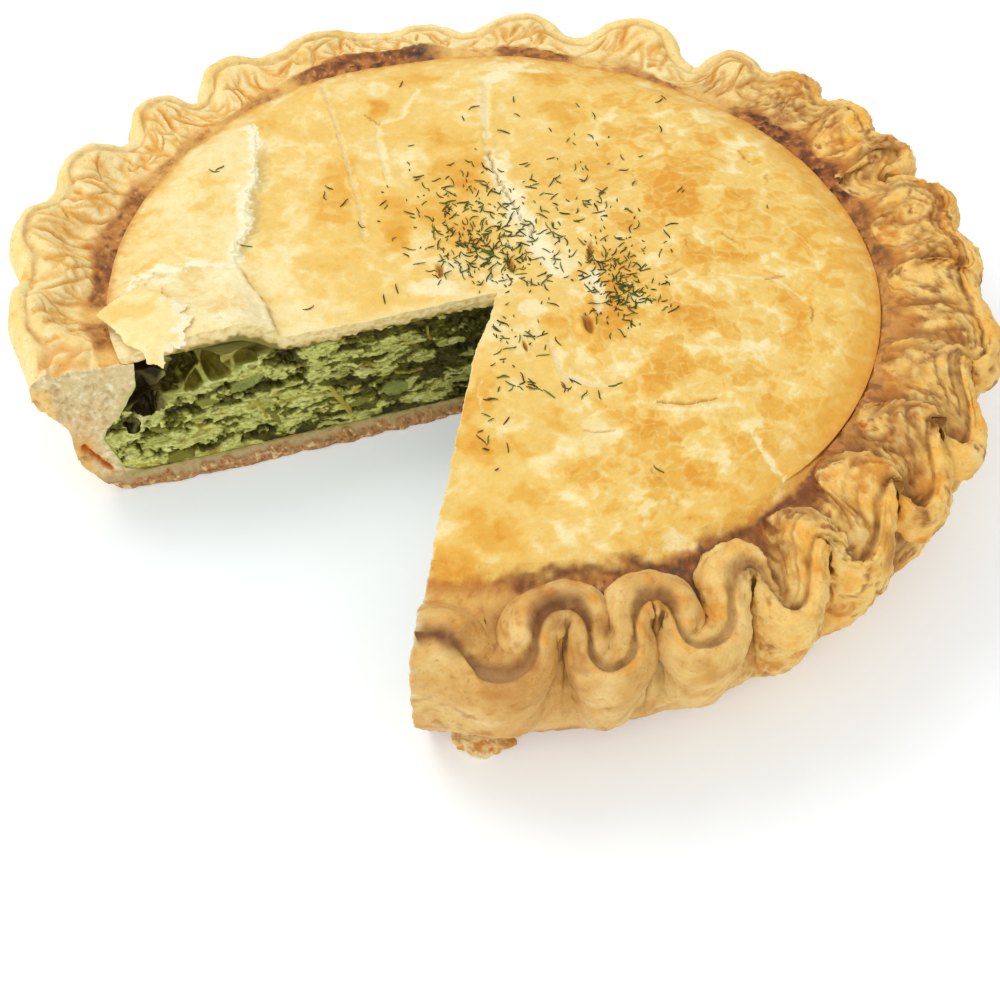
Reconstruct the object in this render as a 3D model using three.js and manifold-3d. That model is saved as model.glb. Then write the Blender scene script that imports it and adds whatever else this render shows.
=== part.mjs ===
// A deep, double-crust spinach and cheese pie with one slice taken out.
// Millimetres, +Z up. The origin is on the underside of the base, on the axis of the round lid.
// The missing slice opens towards -Y.

import * as THREE from "three";
import { mergeVertices } from "three/addons/utils/BufferGeometryUtils.js";
import Module from "manifold-3d";

const wasm = await Module();
wasm.setup();

// ---- Driving dimensions: millimetres, and degrees of azimuth from +X towards +Y ----

const FLOOR_THICKNESS = 5.6;
const BASE_RADIUS = 102;
const BASE_SPREAD = 9; // how much further the base reaches on its slumped side
const WALL_RADIUS = 113;
const WALL_SPREAD = 12.5;
const SLUMPED_SIDE = -65; // azimuth where the wall has slumped furthest out

const LID_RADIUS = 99.2;
const LID_UNDERSIDE = 36;
const LID_TOP = 40.5;
const TRENCH_HEIGHT = 36.2; // floor of the groove between the lid and the crimped rim
const CLEARANCE = 0.4; // gap that the lid and the filling keep to what they touch

const SLICE_TIP = new THREE.Vector2(0.6, -8.2);
const SLICE_LEFT = 199.6; // azimuth in which the cut on the left of the slice runs
const SLICE_RIGHT = 262.7;
const SLICE_REACH = 160;

// Where the rim is pinched in between two flutes, and how deep each pinch is from 0 to 1.
const PINCHES = [
  [-96.5, 1], [-82, 1], [-73, 1], [-61.5, 0.95], [-52, 0.85], [-40, 0.8], [-28.5, 0.8], [-17, 0.7],
  [0.5, 0.5], [11, 0.35], [22.5, 0.9], [31, 0.3], [41, 0.35], [49.5, 0.35], [60, 1], [79, 1], [95, 1],
  [107, 0.4], [125, 0.5], [138, 1], [151.5, 0.9], [167, 0.4], [183, 0.5], [199, 0.5], [231, 0.5], [263.5, 1],
];
const STEPS_PER_FLUTE = 8;
const RIBBON_HALF_WIDTH = 4.9; // half of the thick folded strip of dough that the rim is crimped from
const TRENCH_RADIUS = 103;
const CAVITY_SIDES = 48;

const DILL_COUNT = 38;
const DILL_RADIUS = 0.55;
const DILL_SIDES = 3;
const DILL_BENDS = 3;

// ---- Small helpers ----

const radians = THREE.MathUtils.degToRad;
const mix = THREE.MathUtils.lerp;
const smooth = THREE.MathUtils.smoothstep;

// A repeatable number from 0 to 1 for a grid cell.
function cellNumber(i, j) {
  const raised = Math.sin(i * 127.1 + j * 311.7) * 43758.5453;
  return raised - Math.floor(raised);
}

// Smooth unevenness from -1 to 1 over a plane, one bump to a unit.
function unevenness(x, y) {
  const i = Math.floor(x);
  const j = Math.floor(y);
  const across = smooth(x - i, 0, 1);
  const up = smooth(y - j, 0, 1);
  const near = mix(cellNumber(i, j), cellNumber(i + 1, j), across);
  const far = mix(cellNumber(i, j + 1), cellNumber(i + 1, j + 1), across);
  return 2 * mix(near, far, up) - 1;
}

// Seeded draws for the scattered dill.
function seededDraws(seed) {
  let state = seed;
  return () => {
    state = (state * 1664525 + 1013904223) % 4294967296;
    return state / 4294967296;
  };
}

// Directions along the left cut, and straight back into the pie from it.
const ALONG_CUT = new THREE.Vector2(Math.cos(radians(SLICE_LEFT)), Math.sin(radians(SLICE_LEFT)));
const INTO_PIE = new THREE.Vector2(ALONG_CUT.y, -ALONG_CUT.x);
const CUT_OFFSET = -SLICE_TIP.dot(INTO_PIE);

// A point of the plan from its distances along the left cut and back from it.
function fromCut(along, back) {
  return new THREE.Vector2()
    .addScaledVector(ALONG_CUT, along)
    .addScaledVector(INTO_PIE, back - CUT_OFFSET);
}

// 0 to 1 by azimuth: full over the side that a facing azimuth points to, gone where narrow says.
function sideWeight(azimuth, facing, narrow, full) {
  return smooth(Math.cos(radians(azimuth - facing)), narrow, full);
}

// How far the wall has slumped out, and where the flutes hang outwards, lie flat or have swollen.
const slump = (azimuth) => sideWeight(azimuth, SLUMPED_SIDE, -0.15, 0.75);
const overhang = (azimuth) => sideWeight(azimuth, -85, 0.2, 0.95);
const flatness = (azimuth) => sideWeight(azimuth, 90, -0.1, 0.75);
const swelling = (azimuth) => sideWeight(azimuth, -8, 0.45, 0.85);

// How high the lid has lifted off the filling, strongest at the left cut near the rim.
const LIFT = { height: 7, from: 59, to: 69, depth: 38 };
function lidLift(along, back) {
  const across = smooth(along, LIFT.from, LIFT.to);
  return LIFT.height * across * (1 - smooth(Math.max(back, 0), 0, LIFT.depth));
}

function liftAt(x, y) {
  const place = new THREE.Vector2(x, y);
  return lidLift(place.dot(ALONG_CUT), place.dot(INTO_PIE) + CUT_OFFSET);
}

// ---- Closed bodies from rings and grids of points ----

// A left-handed plan gives faces that point inwards, so those are turned over.
function bodyFrom(positions, triangles) {
  const geometry = new THREE.BufferGeometry();
  geometry.setAttribute("position", new THREE.Float32BufferAttribute(positions, 3));
  geometry.setIndex(triangles);
  const solid = solidOf(geometry);
  if (solid.volume() > 0) return solid;
  geometry.setIndex([...triangles].reverse());
  return solidOf(geometry);
}

function solidOf(geometry) {
  const bare = geometry.clone();
  bare.deleteAttribute("normal");
  bare.deleteAttribute("uv");
  const merged = mergeVertices(bare, 1e-4);
  return new wasm.Manifold(new wasm.Mesh({
    numProp: 3,
    vertProperties: new Float32Array(merged.attributes.position.array),
    triVerts: new Uint32Array(merged.index.array),
  }));
}

function geometryOf(solid) {
  const mesh = solid.getMesh();
  const geometry = new THREE.BufferGeometry();
  geometry.setAttribute("position", new THREE.Float32BufferAttribute(mesh.vertProperties, 3));
  geometry.setIndex(new THREE.Uint32BufferAttribute(mesh.triVerts, 1));
  geometry.computeVertexNormals();
  return geometry;
}

// Rings all round the axis, from the lowest to the highest, closed by a point at each end.
// ringPoint(column, ring) gives [x, y, z]; the columns run anticlockwise.
function ringBody(columns, rings, ringPoint, bottomPoint, topPoint) {
  const positions = [...bottomPoint, ...topPoint];
  for (let ring = 0; ring < rings; ring += 1) {
    for (let column = 0; column < columns; column += 1) positions.push(...ringPoint(column, ring));
  }
  const at = (column, ring) => 2 + ring * columns + (column % columns);
  const triangles = [];
  for (let column = 0; column < columns; column += 1) {
    triangles.push(0, at(column + 1, 0), at(column, 0));
    triangles.push(1, at(column, rings - 1), at(column + 1, rings - 1));
    for (let ring = 0; ring < rings - 1; ring += 1) {
      triangles.push(at(column, ring), at(column + 1, ring), at(column + 1, ring + 1));
      triangles.push(at(column, ring), at(column + 1, ring + 1), at(column, ring + 1));
    }
  }
  return bodyFrom(positions, triangles);
}

// A body of revolution whose profile [radius, height] may change with the azimuth.
// The profile's first and last points lie on the axis.
function roundBody(columns, profileAt) {
  const profiles = [];
  for (let column = 0; column < columns; column += 1) profiles.push(profileAt((360 * column) / columns));
  const last = profiles[0].length - 1;
  const ringPoint = (column, ring) => {
    const angle = radians((360 * column) / columns);
    const [radius, height] = profiles[column][ring + 1];
    return [radius * Math.cos(angle), radius * Math.sin(angle), height];
  };
  return ringBody(columns, last - 1, ringPoint, [0, 0, profiles[0][0][1]], [0, 0, profiles[0][last][1]]);
}

// A slab over a grid: plan(i, j) gives the place, floor(i, j) and roof(i, j) the heights, i and j from 0 to 1.
function slab(across, along, plan, floor, roof) {
  const positions = [];
  const triangles = [];
  const layer = (across + 1) * (along + 1);
  for (const height of [floor, roof]) {
    for (let j = 0; j <= along; j += 1) {
      for (let i = 0; i <= across; i += 1) {
        const place = plan(i / across, j / along);
        positions.push(place.x, place.y, height(i / across, j / along));
      }
    }
  }
  const at = (i, j, level) => level * layer + j * (across + 1) + i;
  const face = (a, b, c, d) => triangles.push(a, b, c, a, c, d);
  for (let j = 0; j < along; j += 1) {
    for (let i = 0; i < across; i += 1) {
      face(at(i, j, 1), at(i + 1, j, 1), at(i + 1, j + 1, 1), at(i, j + 1, 1));
      face(at(i, j, 0), at(i, j + 1, 0), at(i + 1, j + 1, 0), at(i + 1, j, 0));
    }
  }
  for (let i = 0; i < across; i += 1) {
    face(at(i, 0, 0), at(i + 1, 0, 0), at(i + 1, 0, 1), at(i, 0, 1));
    face(at(i + 1, along, 0), at(i, along, 0), at(i, along, 1), at(i + 1, along, 1));
  }
  for (let j = 0; j < along; j += 1) {
    face(at(0, j + 1, 0), at(0, j, 0), at(0, j, 1), at(0, j + 1, 1));
    face(at(across, j, 0), at(across, j + 1, 0), at(across, j + 1, 1), at(across, j, 1));
  }
  return bodyFrom(positions, triangles);
}

// ---- The missing slice: a wedge, with faces as rough as its steps and roughness say ----

const WEDGE_FLOOR = -10;
const WEDGE_ROOF = 70;

function sliceWedge(stepsAlong, stepsUp, roughness) {
  const levels = stepsUp + 1;
  const sideDirections = [radians(SLICE_LEFT), radians(SLICE_RIGHT)];
  const outline = (height) => {
    const points = [];
    for (let side = 0; side < 2; side += 1) {
      const direction = new THREE.Vector2(Math.cos(sideDirections[side]), Math.sin(sideDirections[side]));
      const outward = side === 0 ? 1 : -1;
      const normal = new THREE.Vector2(direction.y, -direction.x).multiplyScalar(outward);
      for (let step = side; step <= stepsAlong; step += 1) {
        const index = side === 0 ? stepsAlong - step : step;
        const along = index === stepsAlong ? SLICE_REACH : (index * 112) / stepsAlong;
        const push = roughness(along, height, side);
        points.push(SLICE_TIP.clone().addScaledVector(direction, along).addScaledVector(normal, push));
      }
    }
    return points;
  };
  const positions = [];
  const middle = radians((SLICE_LEFT + SLICE_RIGHT) / 2);
  const far = SLICE_TIP.clone().add(new THREE.Vector2(Math.cos(middle), Math.sin(middle)).multiplyScalar(SLICE_REACH));
  let perLevel = 0;
  for (let level = 0; level < levels; level += 1) {
    const inside = mix(FLOOR_THICKNESS, LID_UNDERSIDE + 8, (level - 1) / (levels - 3));
    const height = level === 0 ? WEDGE_FLOOR : level === levels - 1 ? WEDGE_ROOF : inside;
    const points = [...outline(height), far];
    perLevel = points.length;
    for (const point of points) positions.push(point.x, point.y, height);
  }
  const at = (index, level) => level * perLevel + (index % perLevel);
  const triangles = [];
  for (let index = 0; index < perLevel; index += 1) {
    for (let level = 0; level < levels - 1; level += 1) {
      triangles.push(at(index, level), at(index + 1, level + 1), at(index + 1, level));
      triangles.push(at(index, level), at(index, level + 1), at(index + 1, level + 1));
    }
  }
  for (let index = 0; index < perLevel - 2; index += 1) {
    triangles.push(at(perLevel - 1, 0), at(index, 0), at(index + 1, 0));
    triangles.push(at(perLevel - 1, levels - 1), at(index + 1, levels - 1), at(index, levels - 1));
  }
  return bodyFrom(positions, triangles);
}

const cleanSlice = sliceWedge(1, 3, () => 0);

// ---- Pastry shell: floor, slanted wall and crimped rim in one piece ----

// The crimped edge at one place: the line that the folded strip follows, and how it is shaped there.
function rimAt(flute, part) {
  const [start, startDepth] = PINCHES[flute];
  const [end, endDepth] = PINCHES[flute + 1];
  const width = end - start;
  const azimuth = start + width * part;
  const lobe = 0.5 - 0.5 * Math.cos(2 * Math.PI * part);
  const depth = (part < 0.5 ? startDepth : endDepth) * (1 - lobe);
  const out = slump(azimuth);
  const hang = overhang(azimuth);
  const flat = flatness(azimuth);
  const looped = mix(0.35, 1, smooth(-azimuth, 52, 72) * (azimuth < 0 ? 1 : 0));
  const sunken = Math.exp(-(((azimuth - 103) / 14) ** 2));
  const drawnIn = 3.5 * smooth(azimuth, 178, 192);
  const leaning = Math.exp(-(((azimuth + 18) / 36) ** 2));
  const swollen = swelling(azimuth);
  const lobeRadius = 122 + 6 * hang - 1.5 * flat - 3 * sunken - drawnIn + 3.5 * swollen;
  const radius = mix(lobeRadius, 113.5 + 2 * out, depth);
  const height = mix(46 - 9 * out - 6 * flat - 4 * sunken, 39.5 + 6 * out - 4.5 * flat, depth);
  const bulge = 0.065 * width * looped * Math.sin(4 * Math.PI * part);
  const lean = 0.45 * leaning * (120 - radius);
  return { azimuth: azimuth + bulge + lean, radius, height, lobe, looped, out, leaning };
}

function planPoint(azimuth, radius) {
  return new THREE.Vector2(radius * Math.cos(radians(azimuth)), radius * Math.sin(radians(azimuth)));
}

// Rings of the shell's outside, from the base up over the rim and down to the ledge under the lid.
function shellColumn(flute, part) {
  const here = rimAt(flute, part);
  const step = 0.02;
  const before = rimAt(flute, Math.max(part - step, 0));
  const after = rimAt(flute, Math.min(part + step, 1));
  const seam = planPoint(here.azimuth, here.radius);
  const tangent = planPoint(after.azimuth, after.radius).sub(planPoint(before.azimuth, before.radius)).normalize();
  const normal = new THREE.Vector2(tangent.y, -tangent.x);
  const { out, lobe, looped, height } = here;
  const straight = mix(PINCHES[flute][0], PINCHES[flute + 1][0], part);
  const offset = (distance) => seam.clone().addScaledVector(normal, distance);
  const half = RIBBON_HALF_WIDTH;
  const innerHalf = half + 5.5 * (1 - lobe);

  const liftHere = liftAt(...planPoint(straight, TRENCH_RADIUS - 4).toArray());
  const trenchHeight = TRENCH_HEIGHT + 0.85 * liftHere;
  const trench = planPoint(straight, TRENCH_RADIUS);
  const inner = (fraction, distance, drop, scoop) => {
    const slope = seam.clone().lerp(trench, fraction);
    const slopeHeight = mix(height, trenchHeight, fraction ** 1.15) - scoop * lobe;
    const strip = offset(-distance);
    const stripHeight = Math.max(height - drop, trenchHeight);
    const plan = slope.lerp(strip, looped);
    return [plan.x, plan.y, mix(slopeHeight, stripHeight, looped)];
  };
  const wallFlute = 2.5 * (lobe - 0.5);
  const rings = [
    [planPoint(straight, BASE_RADIUS + BASE_SPREAD * out), 0],
    [planPoint(straight, BASE_RADIUS + 5 + (BASE_SPREAD + 1) * out), 3.6],
    [planPoint(straight, WALL_RADIUS + (WALL_SPREAD - 0.5) * out), 13],
    [planPoint(straight, WALL_RADIUS + 2 + WALL_SPREAD * out + wallFlute), 26],
    [offset(half * 0.92), Math.max(height - 8, 29)],
    [offset(half), Math.max(height - 4.5, 30.5)],
    [offset(half * 0.8), height - 0.9],
    [offset(half * 0.42), height + 0.5],
    [seam, height],
  ].map(([plan, level]) => [plan.x, plan.y, level]);
  rings.push(inner(0.22, innerHalf * 0.42, -0.5, 0.2));
  rings.push(inner(0.5, innerHalf * 0.8, 1, 1.4));
  rings.push(inner(0.8, innerHalf, 4.5, 1.2));
  rings.push([trench.x, trench.y, trenchHeight]);
  const ledge = planPoint(straight, LID_RADIUS + CLEARANCE);
  rings.push([ledge.x, ledge.y, trenchHeight - 0.3]);
  const underLid = planPoint(straight, LID_RADIUS - 1.2);
  rings.push([underLid.x, underLid.y, LID_UNDERSIDE - CLEARANCE + liftHere]);
  const ledgeInside = planPoint(straight, 92);
  rings.push([ledgeInside.x, ledgeInside.y, LID_UNDERSIDE - CLEARANCE + liftHere]);
  return rings;
}

// The inside of the shell: floor corner, leaning wall and its thick doughy top.
function cavityProfile(azimuth, gap) {
  const out = 8 * slump(azimuth);
  return [
    [0, FLOOR_THICKNESS + gap],
    [97 + out - gap, FLOOR_THICKNESS + gap],
    [102 + out - gap, FLOOR_THICKNESS + 2.2 + gap],
    [104.3 + out - gap, 14.5],
    [106 + out - gap, 19.5],
    [104.5 + out - gap, 23],
    [101.5 + 0.8 * out - gap, 25.6],
    [99 + 0.4 * out - gap, 30.5],
    [96.5 - gap, 35],
  ];
}

function buildShell() {
  const columns = [];
  for (let flute = 0; flute < PINCHES.length - 1; flute += 1) {
    for (let step = 0; step < STEPS_PER_FLUTE; step += 1) {
      columns.push(shellColumn(flute, step / STEPS_PER_FLUTE));
    }
  }
  const rings = columns[0].length;
  const outside = ringBody(
    columns.length,
    rings,
    (column, ring) => columns[column][ring],
    [0, 0, 0],
    [0, 0, LID_UNDERSIDE - CLEARANCE],
  );
  const inside = roundBody(CAVITY_SIDES, (azimuth) => [...cavityProfile(azimuth, 0), [95, 60], [0, 60]]);
  return outside.subtract(inside).subtract(cleanSlice);
}

// ---- Spinach filling: runs through the whole pie, with crags and hollows where it is cut ----

function fillingRoughness(along, height, side) {
  const layers = unevenness(along / 9 + 31 * side, height / 3.1);
  const crags = unevenness(along / 3.4 + 17, height / 2.2 + 9 * side);
  const fade = smooth(along, 0, 8);
  return fade * (0.9 * layers + 0.7 * crags);
}

// Hollows under the lifted lid: centre along and back from the cut, height, and half sizes.
const HOLLOWS = [
  { along: 80, back: -1, height: 38.5, sizes: [23, 15, 8.5], tilt: 17 },
  { along: 93, back: -1, height: 31, sizes: [7.5, 9, 8], tilt: 0 },
  { along: 100, back: 0, height: 20.5, sizes: [4, 4, 3], tilt: 0 },
];

function hollowSolid({ along, back, height, sizes, tilt }) {
  const geometry = new THREE.SphereGeometry(1, 16, 10);
  geometry.scale(...sizes);
  geometry.rotateY(radians(tilt));
  geometry.rotateZ(radians(SLICE_LEFT));
  const place = fromCut(along, back);
  geometry.translate(place.x, place.y, height);
  return solidOf(geometry);
}

function buildFilling() {
  const top = LID_UNDERSIDE - CLEARANCE;
  const mass = roundBody(CAVITY_SIDES, (azimuth) => [...cavityProfile(azimuth, CLEARANCE), [93, top], [0, top]]);
  let filling = mass.subtract(sliceWedge(31, 13, fillingRoughness));
  for (const hollow of HOLLOWS) filling = filling.subtract(hollowSolid(hollow));
  return filling;
}

// ---- Lid: a disc of pastry with a lifted arch of flaky layers at the left cut ----

const ARCH_START = 57.5;
const ARCH_THICKNESS = 4;

// The arch's plan: from a line along its start out to a radius, and from the cut back into the lid.
function archPlan(inset, radius) {
  return (i, j) => {
    const back = mix(-8, LIFT.depth + 1 - inset, j);
    const edge = Math.sqrt(radius ** 2 - (back - CUT_OFFSET) ** 2);
    return fromCut(mix(ARCH_START + inset, edge, i), back);
  };
}

const archPlace = archPlan(0, LID_RADIUS - 0.6);

function archTop(i, j) {
  const place = archPlace(i, j);
  const edgeDrop = 1.6 * smooth(i, 0.88, 1);
  return LID_TOP + liftAt(place.x, place.y) - edgeDrop;
}

function archUnderside(i, j) {
  const place = archPlace(i, j);
  return Math.max(LID_UNDERSIDE, LID_TOP - ARCH_THICKNESS - 0.5 + liftAt(place.x, place.y));
}

function lidTopHeight(x, y) {
  return LID_TOP + 0.45 * unevenness(x / 24 + 3, y / 24 + 8) + 0.2 * unevenness(x / 11, y / 11 + 5);
}

function buildLidDisc() {
  const rings = [[88, 0], [LID_RADIUS - 1.4, 0], [LID_RADIUS, 1.6]];
  const domes = [[98.4, -1.9], [96.2, -0.8], [92, -0.1], [72, 0], [48, 0], [24, 0]];
  const columns = 72;
  const ringPoint = (column, ring) => {
    const angle = (2 * Math.PI * column) / columns;
    const under = ring < rings.length;
    const [radius, level] = under ? rings[ring] : domes[ring - rings.length];
    const x = radius * Math.cos(angle);
    const y = radius * Math.sin(angle);
    return [x, y, under ? LID_UNDERSIDE + level : lidTopHeight(x, y) + level];
  };
  const count = rings.length + domes.length;
  return ringBody(columns, count, ringPoint, [0, 0, LID_UNDERSIDE], [0, 0, lidTopHeight(0, 0)]);
}

// The loose corner leaf of pastry that rests on the arch and hangs over the cut and the rim's groove.
const LEAF_OUTLINE = [
  [101, 17], [97, 6], [94.5, -1], [91.5, -5], [89, -7.5], [86, -3.5], [81, 1], [78.7, 6], [81.2, 9.5],
  [79.3, 12.5], [83.8, 17.5], [84.4, 26], [90, 25.4], [95, 20.3],
];
const LEAF_THICKNESS = 1.5;
const LEAF_SLOPE = 7;

function buildLeaf() {
  const outline = new THREE.Shape(LEAF_OUTLINE.map(([along, back]) => new THREE.Vector2(along, -back)));
  const leaf = new THREE.ExtrudeGeometry(outline, { depth: LEAF_THICKNESS, bevelEnabled: false });
  leaf.rotateX(radians(LEAF_SLOPE));
  const placed = new THREE.Matrix4().makeRotationZ(radians(SLICE_LEFT));
  const corner = fromCut(0, 0);
  placed.setPosition(corner.x, corner.y, LID_TOP + LIFT.height - 1);
  leaf.applyMatrix4(placed);
  return solidOf(leaf);
}

// Narrow clefts in the lid: from and to in plan, width and depth.
const CLEFTS = [
  { points: [[0, 92], [-2, 60], [1, 33]], width: 1.8, depth: 1.1 },
  { points: [[1, 33], [9, 13], [13, 4]], width: 2.4, depth: 1.3 },
  { points: [[-48, 78], [-44, 55], [-37, 17]], width: 1.5, depth: 0.9 },
  { points: [[-66, 38], [-65, 20], [-63, 3]], width: 1.8, depth: 1.6 },
  { points: [[37, -64], [46, -81]], width: 1.5, depth: 0.9 },
];

function cleftSolids() {
  const solids = [];
  for (const { points, width, depth } of CLEFTS) {
    for (let index = 1; index < points.length; index += 1) {
      const start = new THREE.Vector3(...points[index - 1], 0);
      const end = new THREE.Vector3(...points[index], 0);
      const along = end.clone().sub(start);
      const cleft = new THREE.BoxGeometry(along.length() + width, width, 6);
      cleft.rotateZ(Math.atan2(along.y, along.x));
      const middle = start.add(end).multiplyScalar(0.5);
      cleft.translate(middle.x, middle.y, LID_TOP - depth + 3);
      solids.push(solidOf(cleft));
    }
  }
  return solids;
}

// Small slit vents, each a narrow lens-shaped hole partly through the lid: place, turn and length.
const VENTS = [[25, 13, 70, 9], [25, -18, 20, 8], [-14, 0, 100, 6], [4, 2, 40, 7]];

function ventSolids() {
  return VENTS.map(([x, y, turn, length]) => {
    const vent = new THREE.SphereGeometry(1, 8, 4);
    vent.scale(length / 2, 1.2, 2.2);
    vent.rotateZ(radians(turn));
    vent.translate(x, y, LID_TOP + 0.2);
    return solidOf(vent);
  });
}

// One dill needle: a thin curved stem lying on the lid, sunk a little into it.
function dillNeedle(x, y, turn, length, bend) {
  const rings = [];
  for (let step = 0; step <= DILL_BENDS; step += 1) {
    const run = step / DILL_BENDS - 0.5;
    const middle = new THREE.Vector2(run * length, bend * (1 - 4 * run * run));
    middle.rotateAround(new THREE.Vector2(), turn);
    const thickness = DILL_RADIUS * (1 - 1.2 * run * run);
    rings.push({ x: x + middle.x, y: y + middle.y, thickness });
  }
  const base = lidTopHeight(x, y) + 0.18;
  const direction = turn + Math.PI / 2;
  const positions = [];
  for (const ring of rings) {
    for (let side = 0; side < DILL_SIDES; side += 1) {
      const angle = (2 * Math.PI * side) / DILL_SIDES;
      const sideways = ring.thickness * Math.cos(angle);
      positions.push(
        ring.x + sideways * Math.cos(direction),
        ring.y + sideways * Math.sin(direction),
        base + ring.thickness * Math.sin(angle),
      );
    }
  }
  const at = (ring, side) => ring * DILL_SIDES + (side % DILL_SIDES);
  const triangles = [];
  for (let side = 0; side < DILL_SIDES; side += 1) {
    for (let ring = 0; ring < DILL_BENDS; ring += 1) {
      triangles.push(at(ring, side), at(ring + 1, side + 1), at(ring, side + 1));
      triangles.push(at(ring, side), at(ring + 1, side), at(ring + 1, side + 1));
    }
  }
  for (let side = 1; side < DILL_SIDES - 1; side += 1) {
    triangles.push(at(0, 0), at(0, side), at(0, side + 1));
    triangles.push(at(DILL_BENDS, 0), at(DILL_BENDS, side + 1), at(DILL_BENDS, side));
  }
  return bodyFrom(positions, triangles);
}

// Dill lies thickest in a few drifts round the middle of the lid.
const DRIFTS = [
  { x: 2, y: 14, spread: 13, share: 0.34 },
  { x: 28, y: 0, spread: 12, share: 0.28 },
  { x: 14, y: 28, spread: 18, share: 0.22 },
  { x: 4, y: -45, spread: 14, share: 0.16 },
];

function dillNeedles() {
  const draw = seededDraws(20);
  const bell = () => draw() + draw() + draw() - 1.5;
  const needles = [];
  for (const { x, y, spread, share } of DRIFTS) {
    for (let count = 0; count < Math.round(DILL_COUNT * share); count += 1) {
      const placeX = x + 1.6 * spread * bell();
      const placeY = y + 1.6 * spread * bell();
      const turn = Math.PI * draw();
      const length = mix(3.5, 7, draw());
      const bend = mix(-0.9, 0.9, draw());
      if (clearOfSlice(placeX, placeY, 5)) needles.push(dillNeedle(placeX, placeY, turn, length, bend));
    }
  }
  return needles;
}

// Whether a place on the lid is at least a margin away from the missing slice.
function clearOfSlice(x, y, margin) {
  const fromTip = new THREE.Vector2(x, y).sub(SLICE_TIP);
  const right = new THREE.Vector2(Math.cos(radians(SLICE_RIGHT)), Math.sin(radians(SLICE_RIGHT)));
  const behindLeft = fromTip.dot(INTO_PIE) > margin;
  const behindRight = fromTip.dot(new THREE.Vector2(-right.y, right.x)) > margin;
  return behindLeft || behindRight;
}

function buildLid() {
  const space = slab(10, 8, archPlan(0.6, LID_RADIUS + 3), () => LID_UNDERSIDE - 5, () => LID_TOP + 15);
  const arch = slab(12, 10, archPlace, archUnderside, archTop);
  let lid = buildLidDisc().subtract(space).add(arch);
  for (const cut of [...cleftSolids(), ...ventSolids(), cleanSlice]) lid = lid.subtract(cut);
  for (const needle of dillNeedles()) lid = lid.add(needle);
  return lid.add(buildLeaf());
}

// ---- The pie ----

function named(name, solid, color, roughness) {
  const material = new THREE.MeshStandardMaterial({ color, roughness, metalness: 0 });
  const mesh = new THREE.Mesh(geometryOf(solid), material);
  mesh.name = name;
  return mesh;
}

const pie = new THREE.Group();
pie.add(named("pastry_shell", buildShell(), 0xd9a865, 0.7));
pie.add(named("spinach_filling", buildFilling(), 0x6d7b3f, 0.6));
pie.add(named("top_crust", buildLid(), 0xe9c27c, 0.55));

export default pie;
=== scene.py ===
"""Looks for a deep spinach and cheese pie with one slice taken out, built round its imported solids.

Lengths are millimetres until a mesh is made, and azimuths are degrees from +X towards +Y.
"along" is a distance along a cut from near the pie's middle, "back" one from the cut into the pie,
and "side" is 0 on the left cut and 1 on the right one.
"""

import math
from types import SimpleNamespace

import bpy
import numpy as np
from mathutils import Matrix, Vector
from mathutils.geometry import delaunay_2d_cdt
from mathutils.kdtree import KDTree


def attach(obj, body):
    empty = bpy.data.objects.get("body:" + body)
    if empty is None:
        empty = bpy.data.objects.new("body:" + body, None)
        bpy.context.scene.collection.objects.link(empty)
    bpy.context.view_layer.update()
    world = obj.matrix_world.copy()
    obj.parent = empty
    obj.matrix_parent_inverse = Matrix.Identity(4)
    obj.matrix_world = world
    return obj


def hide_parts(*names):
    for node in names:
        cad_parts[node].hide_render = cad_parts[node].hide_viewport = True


MM = 0.001

# ---- Driving dimensions, the same as the solids have ----

FLOOR_THICKNESS = 5.6
BASE_RADIUS = 102
BASE_SPREAD = 9
WALL_RADIUS = 113
WALL_SPREAD = 12.5
SLUMPED_SIDE = -65
LID_RADIUS = 99.2
LID_UNDERSIDE = 36
LID_TOP = 40.5
TRENCH_HEIGHT = 36.2
CLEARANCE = 0.4
SLICE_TIP = np.array([0.6, -8.2])
SLICE_LEFT = 199.6
SLICE_RIGHT = 262.7
PINCHES = np.array([  # azimuth and depth of each pinch of the rim
    [-95.5, 1], [-82, 1], [-73, 1], [-61.5, 0.95], [-52, 0.85], [-40, 0.8], [-28.5, 0.8], [-17, 0.7],
    [0.5, 0.5], [11, 0.35], [22.5, 0.9], [31, 0.3], [41, 0.35], [49.5, 0.35], [60, 1], [79, 1], [95, 1],
    [107, 0.4], [125, 0.5], [138, 1], [151.5, 0.9], [167, 0.4], [183, 0.5], [199, 0.5], [231, 0.5],
    [264.5, 1],
])
RIBBON_HALF_WIDTH = 4.9
LIFT_HEIGHT, LIFT_FROM, LIFT_TO, LIFT_DEPTH = 7, 57.0, 70, 38

# ---- What the solids leave to the scene: how the rim's lobes, pinches and browning differ all round ----

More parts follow.
